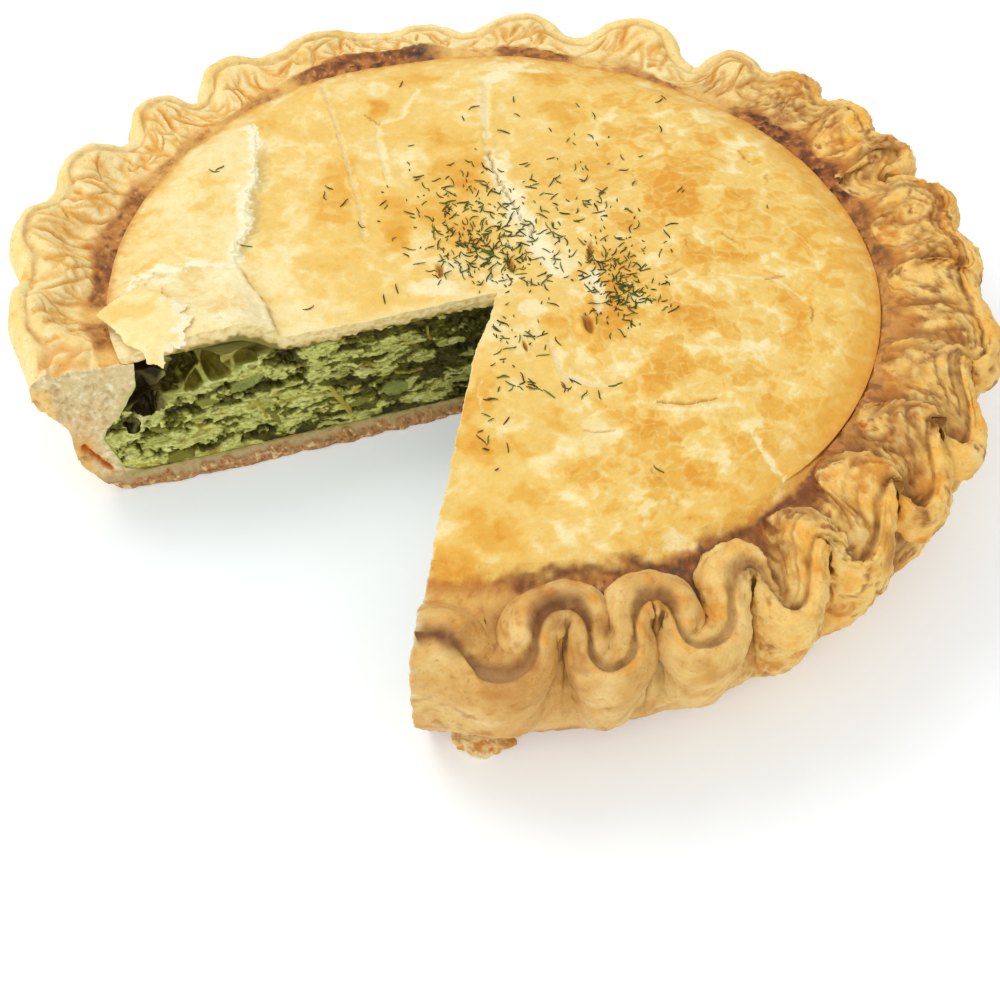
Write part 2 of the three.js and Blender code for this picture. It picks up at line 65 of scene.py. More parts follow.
# How much further out the front pinches are
FRONT_PINCH_SHIFT = np.array([6, 0.5, 1.8, 0.8, 1.5] + [0] * (len(PINCHES) - 6) + [6])
BROWN_ARCS = [  # azimuth, half width and strength of the dark stretches of the trench
    (35, 17, 1.0), (112, 15, 0.95), (170, 14, 0.8), (184, 6, 0.7), (196.5, 5, 0.7), (-70, 20, 0.9),
    (13, 13, 0.8), (-9, 13, 0.6), (-30, 12, 0.7), (-46, 10, 0.9), (84, 8, 0.85), (64, 7, 0.6),
    (134, 8, 0.4), (150, 8, 0.35),
]
OUTLINE = [  # azimuth, how much further out the rim's lobes reach there than in the solids, and how widely
    (-44, -4.5, 13), (6, -1.6, 9), (44, 3, 7), (70, 2.5, 6), (88, -1.5, 6), (152, -2, 7),
]
TRENCH_EDGE = np.array([  # azimuth and outer radius of the browned trench between the lid and the rim
    (-97, 105.5), (-60, 106), (-48, 103), (-38, 101), (-24, 100.8), (-10, 101), (7, 102), (20, 102),
    (30, 103), (38, 104.5), (46, 103), (55, 101.5), (70, 101.8), (80, 104.2), (88, 104.2), (96, 104),
    (102, 107), (114, 108), (124, 106.5), (131, 102.4), (150, 102.2), (160, 102.6), (169, 103.6),
    (178, 102.8), (188, 103), (200, 103.4), (264, 105.5),
])
APRON_SIDE = -72
ROUGH_SIDE = -8
FRONT_SIDE = -75
HANGING_SIDE = -85
FLUTE_COLUMNS = (60, 54)  # mesh columns to a flute, at the front and elsewhere
ROOM_SHARE = 0.9  # how much of the room beside the seam the rim may fill
WRINKLES = 430
TORN_SPLIT = [(109.4, 18.2), (106.2, 13.2), (103.6, 8.8)]  # along and height of the split in the cut wall

# How the wedge that cuts the slice out reaches past the pie
WEDGE_REACH, WEDGE_BELOW, WEDGE_ABOVE = 170.0, -12.0, 75.0
WEDGE_MIDDLE = (-70.0, -110.0)
CUT_TOLERANCE = 0.12


# ---- Numbers, noise and places ----

def smooth(value, low, high):
    """0 up to low, 1 from high on, and an even curve between."""
    part = np.clip((value - low) / (high - low), 0, 1)
    return part * part * (3 - 2 * part)


def mix(a, b, part):
    """From a at 0 to b at 1."""
    return a + (b - a) * part


def bump(value, centre, width):
    """1 at the centre, falling off on both sides."""
    return np.exp(-(((value - centre) / width) ** 2))


def terrace(value, steps):
    """Smooth values turned into flaky steps."""
    level = np.floor(value * steps)
    return (level + smooth(value * steps - level, 0.55, 1.0)) / steps


def lattice(i, j, k, seed):
    """A repeatable number from 0 to 1 for each grid cell."""
    n = (i * 73856093) ^ (j * 19349663) ^ (k * 83492791) ^ (seed * 2654435761)
    n &= 0xFFFFFFFF
    n = ((n ^ (n >> 15)) * 2246822519) & 0xFFFFFFFF
    n = ((n ^ (n >> 13)) * 3266489917) & 0xFFFFFFFF
    return (n ^ (n >> 16)) / 4294967295.0


def noise(x, y, z=0.0, seed=1, octaves=1):
    """Smooth noise from about -1 to 1, one bump to a unit, in up to three dimensions."""
    x, y, z = np.broadcast_arrays(np.asarray(x, float), y, z)
    total, weight, reach = 0.0, 1.0, 0.0
    for octave in range(octaves):
        cell = [np.floor(v).astype(np.int64) for v in (x, y, z)]
        part = [v - c for v, c in zip((x, y, z), cell)]
        part = [p * p * (3 - 2 * p) for p in part]
        value = 0.0
        for corner in range(8):
            step = [corner & 1, corner >> 1 & 1, corner >> 2]
            share = 1.0
            for p, s in zip(part, step):
                share = share * (p if s else 1 - p)
            value = value + share * lattice(*[c + s for c, s in zip(cell, step)], seed + octave)
        total = total + weight * (2 * value - 1)
        reach += weight
        weight *= 0.55
        x, y, z = x * 2.03 + 11.3, y * 2.03 + 5.7, z * 2.03 + 3.1
    return total / reach * 1.5


def cells(x, y, seed=1):
    """Distances to the nearest and the second nearest of scattered points, and the nearest's number.

    There is one point to a unit square."""
    i, j = np.floor(x).astype(np.int64), np.floor(y).astype(np.int64)
    first = np.full(np.shape(x), 9.0)
    second = first.copy()
    number = np.zeros(np.shape(x))
    zero = np.zeros_like(i)
    for di in (-1, 0, 1):
        for dj in (-1, 0, 1):
            px = i + di + lattice(i + di, j + dj, zero, seed)
            py = j + dj + lattice(i + di, j + dj, zero, seed + 1)
            distance = np.hypot(x - px, y - py)
            nearer = distance < first
            second = np.where(nearer, first, np.minimum(second, distance))
            number = np.where(nearer, lattice(i + di, j + dj, zero, seed + 2), number)
            first = np.where(nearer, distance, first)
    return first, second, number


def to_line(x, y, points):
    """Distance from each place to a line through points, and from 0 to 1 where along it that is."""
    points = np.array(points, float)
    best = np.full(np.shape(x), 1e9)
    where = np.zeros(np.shape(x))
    lengths = np.hypot(*np.diff(points, axis=0).T)
    run = 0.0
    for start, end, length in zip(points[:-1], points[1:], lengths):
        d = (end - start) / length
        t = np.clip((x - start[0]) * d[0] + (y - start[1]) * d[1], 0, length)
        distance = np.hypot(x - start[0] - t * d[0], y - start[1] - t * d[1])
        nearer = distance < best
        where = np.where(nearer, (run + t) / lengths.sum(), where)
        best = np.where(nearer, distance, best)
        run += length
    return best, where


def near_line(x, y, line, margin):
    """Distance to a line and how far along it, worked out only within a margin of it."""
    points = np.array(line, float)
    close = ((x > points[:, 0].min() - margin) & (x < points[:, 0].max() + margin)
             & (y > points[:, 1].min() - margin) & (y < points[:, 1].max() + margin))
    distance, where = np.full(np.shape(x), 1e3), np.zeros(np.shape(x))
    if close.any():
        distance[close], where[close] = to_line(x[close], y[close], line)
    return distance, where


def inside(x, y, outline):
    """Whether each place lies inside an outline."""
    outline = np.array(outline, float)
    result = np.zeros(np.shape(x), bool)
    for (ax, ay), (bx, by) in zip(outline, np.roll(outline, -1, axis=0)):
        if ay == by:
            continue
        crosses = (ay > y) != (by > y)
        result ^= crosses & (x < (bx - ax) * (y - ay) / (by - ay) + ax)
    return result


def toward(azimuth):
    """The direction of an azimuth."""
    return np.array([math.cos(math.radians(azimuth)), math.sin(math.radians(azimuth))])


ALONG_CUT = toward(SLICE_LEFT)
INTO_PIE = np.array([ALONG_CUT[1], -ALONG_CUT[0]])
CUT_OFFSET = -SLICE_TIP @ INTO_PIE
ALONG_RIGHT = toward(SLICE_RIGHT)
INTO_RIGHT = np.array([-ALONG_RIGHT[1], ALONG_RIGHT[0]])


def to_cut(x, y):
    """How far along the left cut and back from it each place is."""
    return x * ALONG_CUT[0] + y * ALONG_CUT[1], x * INTO_PIE[0] + y * INTO_PIE[1] + CUT_OFFSET


def from_cut(along, back):
    """The place so far along the left cut and back from it."""
    back = back - CUT_OFFSET
    return along * ALONG_CUT[0] + back * INTO_PIE[0], along * ALONG_CUT[1] + back * INTO_PIE[1]


def side_weight(azimuth, facing, narrow, full):
    """1 on the side that faces an azimuth, 0 away from it, by the cosine of the angle between."""
    return smooth(np.cos(np.radians(azimuth - facing)), narrow, full)


def slump(azimuth):
    """1 where the wall leans out, 0 where it stands up."""
    return side_weight(azimuth, SLUMPED_SIDE, -0.15, 0.75)


def front_apron(azimuth):
    """1 where the lid runs on past its edge into the front loops of the rim."""
    return side_weight(azimuth, APRON_SIDE, 0.78, 0.93)


def lift_at(x, y):
    """How far the lid is lifted there, into its arch beside the left cut."""
    along, back = to_cut(x, y)
    return LIFT_HEIGHT * smooth(along, LIFT_FROM, LIFT_TO) * (1 - smooth(np.maximum(back, 0), 0, LIFT_DEPTH))


# ---- Meshes ----

def make_mesh(name, vertices, quads=(), triangles=()):
    """A mesh from millimetres."""
    quads = np.asarray(quads, np.int32).reshape(-1, 4)
    triangles = np.asarray(triangles, np.int32).reshape(-1, 3)
    mesh = bpy.data.meshes.new(name)
    mesh.vertices.add(len(vertices))
    mesh.vertices.foreach_set("co", (np.asarray(vertices) * MM).astype(np.float32).ravel())
    mesh.loops.add(quads.size + triangles.size)
    mesh.loops.foreach_set("vertex_index", np.concatenate([quads.ravel(), triangles.ravel()]))
    mesh.polygons.add(len(quads) + len(triangles))
    starts = np.concatenate([np.arange(len(quads)) * 4, quads.size + np.arange(len(triangles)) * 3])
    mesh.polygons.foreach_set("loop_start", starts.astype(np.int32))
    mesh.update(calc_edges=True)
    mesh.validate()
    return mesh


def make_object(name, mesh):
    thing = bpy.data.objects.new(name, mesh)
    bpy.context.scene.collection.objects.link(thing)
    return thing


def vertices_of(mesh):
    """The places of a mesh's vertices, in millimetres."""
    co = np.zeros(len(mesh.vertices) * 3, np.float32)
    mesh.vertices.foreach_get("co", co)
    return co.reshape(-1, 3).astype(float) / MM


def outward(vertices, quads, triangles):
    """The faces, turned over where they would face inwards."""
    split = np.concatenate([triangles, quads[:, :3], quads[:, [0, 2, 3]]])
    a, b, c = (vertices[split[:, k]] for k in range(3))
    if np.einsum("ij,ij->i", a, np.cross(b, c)).sum() < 0:
        return quads[:, ::-1], triangles[:, ::-1]
    return quads, triangles


def ring_faces(columns, rings):
    """Quads between closed rings of columns vertices each, ring after ring."""
    ring, column = np.meshgrid(np.arange(rings - 1), np.arange(columns), indexing="ij")
    near = ring * columns + column
    side = ring * columns + (column + 1) % columns
    return np.stack([near, side, side + columns, near + columns], -1).reshape(-1, 4)


def middles(rings):
    """The middle of the first ring and of the last one."""
    return np.array([rings[0].mean(0), rings[-1].mean(0)])


def closed_rings(name, rings, ends=None):
    """A closed body from an array of rings, columns and 3. Its end points are on the axis unless given."""
    if ends is None:
        ends = middles(rings)
        ends[:, :2] = 0
    count, columns = rings.shape[:2]
    vertices = np.concatenate([rings.reshape(-1, 3), ends])
    first, top = count * columns, (count - 1) * columns
    column = np.arange(columns)
    after = (column + 1) % columns
    triangles = np.concatenate([
        np.stack([np.full(columns, first), after, column], -1),
        np.stack([np.full(columns, first + 1), top + column, top + after], -1),
    ])
    return make_mesh(name, vertices, *outward(vertices, ring_faces(columns, count), triangles))


def unit_ball(columns, rise):
    """Rings of a ball of radius 1, at these angles above its middle plane."""
    r, t = np.meshgrid(rise, np.linspace(0, 2 * np.pi, columns, endpoint=False), indexing="ij")
    return np.stack([np.cos(r) * np.cos(t), np.cos(r) * np.sin(t), np.sin(r)], -1)


def cut_away(mesh, cutter):
    """The mesh less another one."""
    target, other = make_object("target", mesh), make_object("cutter", cutter)
    modifier = target.modifiers.new("cut", "BOOLEAN")
    modifier.operation = "DIFFERENCE"
    modifier.solver = "MANIFOLD"
    modifier.object = other
    graph = bpy.context.evaluated_depsgraph_get()
    result = bpy.data.meshes.new_from_object(target.evaluated_get(graph))
    for thing in (target, other):
        bpy.data.objects.remove(thing)
    return result


def set_colors(mesh, colors):
    """Colours as the eye sees them, 0 to 1, stored as light."""
    colors = np.clip(colors, 0, 1)
    light = np.where(colors <= 0.04045, colors / 12.92, ((colors + 0.055) / 1.055) ** 2.4)
    layer = mesh.color_attributes.new("tint", "FLOAT_COLOR", "POINT")
    layer.data.foreach_set("color", np.c_[light, np.ones(len(light))].astype(np.float32).ravel())


def shade(mesh, angle):
    mesh.shade_smooth()
    mesh.set_sharp_from_angle(angle=math.radians(angle))


# ---- The missing slice: a wedge whose two faces carry the relief of the cut ----

def slice_wedge(relief, pitch=0.4, top=56.0, reach=132.0):
    """The missing slice as a solid, whose two faces carry the relief at this pitch, up to top and reach."""
    along = np.concatenate([np.arange(0, reach, pitch), [WEDGE_REACH]])
    up = np.concatenate([[WEDGE_BELOW], np.arange(-1.2, top, pitch), [WEDGE_ABOVE]])
    a, z = np.meshgrid(along, up)
    sides = []
    for side, (direction, normal) in enumerate([(ALONG_CUT, INTO_PIE), (ALONG_RIGHT, INTO_RIGHT)]):
        depth = relief(a, z, side) * smooth(a, 0, 3)
        x = SLICE_TIP[0] + a * direction[0] + depth * normal[0]
        y = SLICE_TIP[1] + a * direction[1] + depth * normal[1]
        sides.append(np.stack([x, y, z], -1))
    left, right = sides
    outline = np.concatenate([left[:, ::-1], right[:, 1:]], 1)
    return closed_rings("wedge", outline, [(*WEDGE_MIDDLE, WEDGE_BELOW), (*WEDGE_MIDDLE, WEDGE_ABOVE)])


def nearest_side(x, y):
    """For places on the cut: which side, how far along it, and how far back from its plane."""
    from_tip = np.stack([x - SLICE_TIP[0], y - SLICE_TIP[1]], -1)
    left_back, right_back = from_tip @ INTO_PIE, from_tip @ INTO_RIGHT
    side = (np.abs(right_back) < np.abs(left_back)).astype(int)
    along = np.where(side, from_tip @ ALONG_RIGHT, from_tip @ ALONG_CUT)
    return side, along, np.where(side, right_back, left_back)


def on_cut(points, relief):
    """Whether each point lies on the cut's surface, on which side, and how far along it."""
    side, along, back = nearest_side(points[:, 0], points[:, 1])
    z = points[:, 2]
    depth = np.where(side, relief(along, z, 1), relief(along, z, 0)) * smooth(along, 0, 3)
    return (np.abs(back - depth) < CUT_TOLERANCE) & (along > -1), side, along


# ---- Pastry shell ----

def rim_at(flute, part):
    """The rim's seam at a part of a flute: where it is, and how far it is a lobe, looped and leaning out."""
    start, start_depth = PINCHES[flute].T
    end, end_depth = PINCHES[flute + 1].T
    width = end - start
    azimuth = start + width * part
    lobe = 0.5 - 0.5 * np.cos(2 * np.pi * part)
    depth = np.where(part < 0.5, start_depth, end_depth) * (1 - lobe)
    out = slump(azimuth)
    hang = side_weight(azimuth, HANGING_SIDE, 0.2, 0.95)
    flat = side_weight(azimuth, 90, -0.1, 0.75)
    swollen = side_weight(azimuth, ROUGH_SIDE, 0.45, 0.85)
    wrapped = (azimuth + 180) % 360 - 180
    looped = mix(0.35, 1, smooth(-wrapped, 52, 72) * (1 - smooth(-wrapped, 128, 146)))
    sunken = bump(azimuth, 103, 14)
    drawn_in = 3.5 * smooth(azimuth, 178, 192)
    leaning = bump(azimuth, -18, 36)
    lobe_radius = 122 + 6 * hang - 1.5 * flat - 3 * sunken - drawn_in + 3.5 * swollen
    lobe_radius = lobe_radius + sum(change * bump(azimuth, middle, wide) for middle, change, wide in OUTLINE)
    pinch_shift = np.where(part < 0.5, FRONT_PINCH_SHIFT[flute], FRONT_PINCH_SHIFT[flute + 1])
    radius = mix(lobe_radius, 113.5 + 2 * out + pinch_shift, depth)
    height = mix(46 - 9 * out - 6 * flat - 4 * sunken, 39.5 + 6 * out - 4.5 * flat, depth)
    height = height - 3.5 * bump(wrapped, -96.5, 4)
    bulge = 0.065 * width * looped * np.sin(4 * np.pi * part) * (1 - 0.85 * bump(wrapped, -93, 3))
    lean = 0.45 * leaning * (120 - radius)
    return azimuth + bulge + lean, radius, height, lobe, looped, out


def polar(azimuth, radius):
    """Places at an azimuth and a radius."""
    return np.stack([radius * np.cos(np.radians(azimuth)), radius * np.sin(np.radians(azimuth))], -1)


def room(points, normals):
    """How far each point can go along its normal before it is nearer to another part of the line."""
    gap = points[None] - points[:, None]
    ahead = np.einsum("ijk,ik->ij", gap, normals)
    squared = (gap ** 2).sum(-1)
    reach = np.where(ahead > 1e-3, squared / (2 * np.maximum(ahead, 1e-3)), 1e3)
    reach = np.minimum(reach.min(1), 30)
    return np.minimum(reach, (np.roll(reach, 1) + reach + np.roll(reach, -1)) / 3)


RING_STEPS = [2, 6, 12, 12, 8, 7, 8, 8, 8, 9, 10, 10, 10, 2, 1, 1]  # mesh rings between the control rings
SEAM, TRENCH, LEDGE = 8, 12, 13  # control rings: the rim's seam, the trench and the ledge under the lid


def shell_rings():
    """The shell's rings, from the middle of its underside over the rim to under the lid, and their facts."""
    counts = np.where(PINCHES[:-1, 0] < -20, *FLUTE_COLUMNS)
    flute = np.repeat(np.arange(len(PINCHES) - 1), counts)
    part = np.concatenate([np.arange(n) / n for n in counts])
    azimuth, radius, height, lobe, looped, out = rim_at(flute, part)
    seam = polar(azimuth, radius)
    before = rim_at(flute, np.maximum(part - 0.02, 0))
    after = rim_at(flute, np.minimum(part + 0.02, 1))
    tangent = polar(after[0], after[1]) - polar(before[0], before[1])
    tangent /= np.linalg.norm(tangent, axis=1)[:, None]
    normal = np.stack([tangent[:, 1], -tangent[:, 0]], -1)
    out_room, in_room = room(seam, normal), room(seam, -normal)
    straight = mix(PINCHES[flute, 0], PINCHES[flute + 1, 0], part)
    half = RIBBON_HALF_WIDTH
    puffed = smooth(straight, -64, -48) * (1 - smooth(straight, 24, 44))
    skirt = side_weight(straight, -78, 0.72, 0.93)
    inner_half = half + (mix(5.5, 4.0, skirt) + 4.5 * puffed) * (1 - lobe)
    from_end = (straight + 180) % 360 - 84.5
    filled = np.where(from_end < 0, smooth(from_end, -8.5, -1.5), 1 - smooth(from_end, 3.2, 6.75))
    toward_lobe = smooth(from_end, 0, 6.75) * (from_end > 0)
    first_lobe = counts[0] // 2

    one = np.ones(len(part))

    def offset(distance):
        """The seam moved outwards, or inwards if below 0, as far as there is room."""
        limit = np.where(distance > 0, out_room, in_room) * ROOM_SHARE
        return seam + normal * np.clip(distance, -limit, limit)[:, None]

    apron = front_apron(straight)
    trench_radius = (np.interp(straight, *TRENCH_EDGE.T) + 1.6 * (lobe - 0.5) * (1 - looped)
                     + 3 * bump(from_end, 0, 7))
    lift_here = lift_at(*polar(straight, trench_radius).T)
    lid_edge = polar(straight, LID_RADIUS)
    ledge_height = mix(TRENCH_HEIGHT + 1.0 + 0.85 * lift_here,
                       lid_top(lid_edge[:, 0], lid_edge[:, 1]) + 0.08, apron)
    trench_height = mix(TRENCH_HEIGHT + 1.0 + 1.6 * puffed, 38.4, apron) + 0.85 * lift_here
    trench = polar(straight, trench_radius)

    def inner(fraction, distance, drop, scoop, swell):
        """A ring between the seam and the trench: on a slope, or on the inner side of a looped ribbon."""
        fraction = np.broadcast_to(fraction, len(seam))
        slope = mix(seam, trench, fraction[:, None])
        fall = mix(mix(2.6, 1.2, lobe), 3.4, puffed)
        hollow = mix(0.4 * scoop * (1 - lobe) - scoop * lobe, swell * lobe, puffed)
        slope_height = mix(height, trench_height, fraction ** fall) + hollow
        strip_height = np.maximum(height - drop, trench_height)
        plan = mix(slope, offset(-distance), looped[:, None])
        return np.c_[plan, mix(slope_height, strip_height, looped)]

    def level(plan, z):
        return np.c_[plan, np.broadcast_to(z, len(plan))]

    def settle(plan, z, end_radius, end_z):
        """The ring, but near the cut on one smooth body between the cut and the first lobe."""
        full = polar(straight, mix(end_radius, np.linalg.norm(plan[first_lobe]), toward_lobe))
        z = z * one
        return level(mix(plan, full, filled[:, None]), mix(z, mix(end_z, z[first_lobe], toward_lobe), filled))

    def outer(share, z, end_radius, end_z):
        """A ring on the outer side of the ribbon, at a share of its half width."""
        return settle(offset(half * share * one), z, end_radius, end_z)

    flute_out = mix(2.5, 4.5, looped * (straight < -20)) * (lobe - 0.5)
    follow = 0.75 * skirt
    under = LID_UNDERSIDE - CLEARANCE + lift_here
    low_wall = polar(straight, WALL_RADIUS + (WALL_SPREAD - 0.5) * out + 0.4 * flute_out)
    high_wall = polar(straight, WALL_RADIUS + 2 + WALL_SPREAD * out + flute_out)
    controls = np.stack([
        level(polar(straight, BASE_RADIUS + BASE_SPREAD * out + 3.5 * skirt), 0),
        level(polar(straight, BASE_RADIUS + 5 + (BASE_SPREAD + 1) * out + 2.5 * skirt), 3.6),
        settle(mix(low_wall, offset(half * 0.6 * one), 0.45 * follow[:, None]), 13, 125.2, 13),
        settle(mix(high_wall, offset(half * 0.9 * one), follow[:, None]), 26, 127.8, 25),
        outer(0.97, np.maximum(height - 8, 29), 128.6, 29.0),
        outer(1, np.maximum(height - 4.5, 30.5), 128.3, 33.5),
        outer(0.8, height - 0.9, 126.8, 37.4),
        outer(0.42, height + 0.5, 124.4, 40.0),
        level(seam, height),
        inner(0.22, inner_half * 0.42, -0.5, 0.4, 2.4),
        inner(mix(0.5, 0.56, puffed), inner_half * 0.8, 1, 2.2, 5.2),
        inner(mix(0.8, 0.92, puffed), inner_half, 4.5, 2.0, 4.2),
        level(trench, trench_height),
        level(polar(straight, (LID_RADIUS + 0.05) * one), ledge_height),
        level(polar(straight, (LID_RADIUS + 0.05) * one), under + 0.5),
        level(polar(straight, (LID_RADIUS - 1.2) * one), under),
        level(polar(straight, 92 * one), under),
    ])
    rings, places = [], []
    for radius in np.linspace(6, BASE_RADIUS - 4, 22):
        x, y = polar(straight, radius).T / 9
        dents = 0.35 * smooth(noise(x, y, seed=10, octaves=3), 0, 1)
        rings.append(level(polar(straight, (radius + BASE_SPREAD * out * radius / BASE_RADIUS)), dents))
        places.append(radius / BASE_RADIUS - 1)
    for span, steps in enumerate(RING_STEPS):
        a, b = controls[span], controls[span + 1]
        for step in range(steps):
            t = step / steps
            if 0 < span < TRENCH:
                start, end = (b - controls[span - 1]) / 2, (controls[span + 2] - a) / 2
                point = ((2 * t ** 3 - 3 * t ** 2 + 1) * a + (t ** 3 - 2 * t ** 2 + t) * start
                         + (3 * t ** 2 - 2 * t ** 3) * b + (t ** 3 - t ** 2) * end)
            else:
                point = mix(a, b, t)
            rings.append(point)
            places.append(span + t)
    rings.append(controls[-1])
    places.append(len(RING_STEPS))
    return np.array(rings), SimpleNamespace(
        place=np.array(places), azimuth=straight, lobe=lobe, looped=looped, puffed=puffed,
        outer_crease=(1 - smooth(out_room, 0.5, 5.5)) * (1 - filled),
        inner_crease=1 - smooth(in_room, 0.5, 4.5))


def brown_arc(azimuth):
    """1 along the stretches of the trench that are baked dark."""
    total = 0.0
    for middle, wide, share in BROWN_ARCS:
        start, full = math.cos(math.radians(wide)), math.cos(math.radians(0.55 * wide))
        total = total + share * side_weight(azimuth, middle, start, full)
    return np.clip(total, 0, 1)


def wrinkles(facts, dents):
    """Short folds that run across the rim: how deep each place is in one, and the crests beside them."""
    draw = np.random.default_rng(3)
    place, azimuth = facts.place, facts.azimuth
    valley, crest = np.zeros(dents.shape), np.zeros(dents.shape)
    rows = np.flatnonzero((place > 8.0) & (place < 11.9))
    for _ in range(WRINKLES):
        middle, height = draw.uniform(-60, 202), draw.uniform(8.9, 11.3)
        length, width = draw.uniform(0.45, 1.4), draw.uniform(0.24, 0.55)
        slant, depth = 1.3 * draw.normal(), draw.uniform(0.35, 1.0)
        columns = np.flatnonzero(np.abs(azimuth - middle) < 6)
        window = np.ix_(rows, columns)
        up = place[rows][:, None] - height
        aside = azimuth[columns][None] - middle - slant * up + 0.35 * dents[window]
        fade = np.exp(-((up / length) ** 4)) * depth
        valley[window] = np.maximum(valley[window], fade * np.exp(-((aside / width) ** 2)))
        beside = (np.abs(aside) - 2.1 * width) / (0.9 * width)
        crest[window] = np.maximum(crest[window], fade * np.exp(-(beside ** 2)))
    return valley, crest * (1 - valley)


def paint(color, *coats):
    """A colour under coats: each one's colour, and from 0 to 1 how much it covers at each place."""
    color = np.asarray(color)
    for target, amount in coats:
        color = color + (np.asarray(target) - color) * np.clip(amount, 0, 1)[..., None]
    return color


def shell_surface(rings, facts):
    """The shell's rings with their relief, and a colour for each point."""
    normal = grid_normals(rings)
    x, y, z = np.moveaxis(rings, -1, 0)
    place, azimuth, lobe, looped, puffed = (
        fact + 0 * x
        for fact in (facts.place[:, None], facts.azimuth, facts.lobe, facts.looped, facts.puffed)
    )
    free = smooth(place, 0.3, 1.2) * (1 - smooth(place, LEDGE - 0.4, LEDGE))
    on_rim = smooth(place, 3.2, 4.2) * (1 - smooth(place, 11.4, 12))
    on_top = smooth(place, 5.6, 6.6) * (1 - smooth(place, 11.4, 12))
    wall = 1 - smooth(place, 3, 4.3)
    trench = smooth(place, 11.45, 11.9)
    apron = front_apron(azimuth) * smooth(place, 11.9, 12.5)
    rough_side = side_weight(azimuth, ROUGH_SIDE, 0.27, 0.77)
    front = side_weight(azimuth, FRONT_SIDE, 0.55, 0.85)
    quiet = 1 - np.maximum(rough_side, front)
    arcs = brown_arc(azimuth)

    def speckle(wide, tall, seed, octaves=2):
        return noise(x / wide, y / wide, z / tall, seed=seed, octaves=octaves)

    lumps = speckle(9, 7, 11)
    knobs = speckle(5, 4, 25)
    dents = speckle(3.2, 2.6, 12)
    pores = speckle(1.1, 1.1, 13)
    grains = speckle(0.8, 0.8, 17, 1)
    flakes = terrace(speckle(5, 4, 15, 3), 5)
    crumbs = speckle(1.7, 1.7, 16)
    gather = smooth(noise(azimuth / 13, place / 2.2, seed=18, octaves=2), -0.45, 0.35)
    wrinkle, crest = wrinkles(facts, dents)
    bend = np.abs(2 * lobe - 1)
    fold_line = azimuth - 201.2 - 0.9 * noise(place / 1.3, 1.0, seed=37) + 0.5 * (place - 9)
    fold_reach = smooth(place, 6.3, 7.6) * (1 - smooth(place, 10.4, 11.3))
    end_fold, end_valley = bump(fold_line, 0, 1.1) * fold_reach, bump(fold_line, -1.9, 0.8) * fold_reach
    across = place - SEAM + 0.22 * noise(azimuth / 2.5, 3.0, seed=19, octaves=2) + 0.07 * pores
    band_width = (np.where(across < 0, 0.82, 0.60) * mix(0.30, 1.1, bend ** 1.3)
                  * (1 + 0.4 * noise(azimuth / 4, 7.0, seed=20)))
    band_width = np.where(looped > 0.6, band_width, 0.24 + 0.12 * noise(azimuth / 5, 9.0, seed=27))
    seam_band = bump(across, 0.0, np.maximum(band_width, 0.12)) * mix(mix(0.55, 0.9, gather), 1.0, looped)
    shallow = mix(1, 0.35, smooth(azimuth, 12, 28))
    crease = np.where(place < SEAM, shallow * facts.outer_crease * smooth(place, mix(1.4, 0.9, front), 3.4),
                      facts.inner_crease) * smooth(place, 1.0, 2.4) * (1 - smooth(place, 11.4, 12))

    sheets = ((across * 1.5 + 0.5 * noise(azimuth / 7, 11.0, seed=28, octaves=2)) % 1 - 0.5) * 2
    in_parts = smooth(noise(azimuth / 4, place / 1.4, seed=29), 0.0, 0.5)
    sheets = (1 - smooth(np.abs(sheets), 0.05, 0.5)) * in_parts * on_top
    sheets = sheets * bump(across, 0.2, 1.9) * (1 - 0.6 * smooth(-azimuth, 30, 50))
    move = (mix(0.42, 0.7, np.maximum(front, rough_side)) * lumps * (0.5 + 0.5 * on_rim)
            + mix(0.2, 0.35, rough_side) * on_rim * knobs
            + mix(0.16, 0.36, np.maximum(rough_side, 0.6 * front)) * dents
            + mix(0.07, 0.34, np.maximum(rough_side, 0.4 * front)) * pores + 0.24 * rough_side * grains
            + (0.6 + 0.4 * quiet) * (0.35 * crest - 0.85 * wrinkle) - 0.42 * rough_side * sheets
            - seam_band * on_rim * mix(0.30, 1.15, looped) * mix(1, 0.7, rough_side)
            + 0.5 * on_top * smooth(across, 0.1, 0.5) * looped + 1.5 * end_fold - 0.9 * end_valley
            + 0.7 * rough_side * on_rim * flakes - mix(1.3, 1.9, rough_side) * crease)
    move = mix(move, 0.25 + 0.55 * crumbs, trench * (1 - apron) * (0.35 + 0.65 * arcs))
    move = mix(move, 0.25 * knobs + 0.10 * dents, apron)
    rings = rings + normal * (move * free)[..., None]
    rings[..., 2] = np.maximum(rings[..., 2], 0.0)

    blotch = speckle(8, 8, 21, 3)
    patch = speckle(4.5, 4.5, 26, 3)
    fine = speckle(2.2, 2.2, 22, 3)
    # Pale left and back
    pale = paint(
        [0.975, 0.905, 0.66],
        ([0.96, 0.84, 0.51], 0.28 + 0.55 * blotch + 0.3 * fine),
        ([0.915, 0.69, 0.28], smooth(0.7 * blotch + 0.5 * patch, 0.3, 0.85) * 0.75),
        # painted highlight along the raised crests beside the wrinkles
        ([0.975, 0.93, 0.76], crest * 0.6),
        ([0.85, 0.57, 0.18], wrinkle * (0.85 + 0.35 * fine)),
        ([0.81, 0.63, 0.38], seam_band * on_rim * (0.6 + 0.4 * fine)),
        ([0.88, 0.66, 0.36], np.maximum(end_valley, 0.7 * bump(fold_line, 1.3, 0.7) * fold_reach) * 0.8),
    )
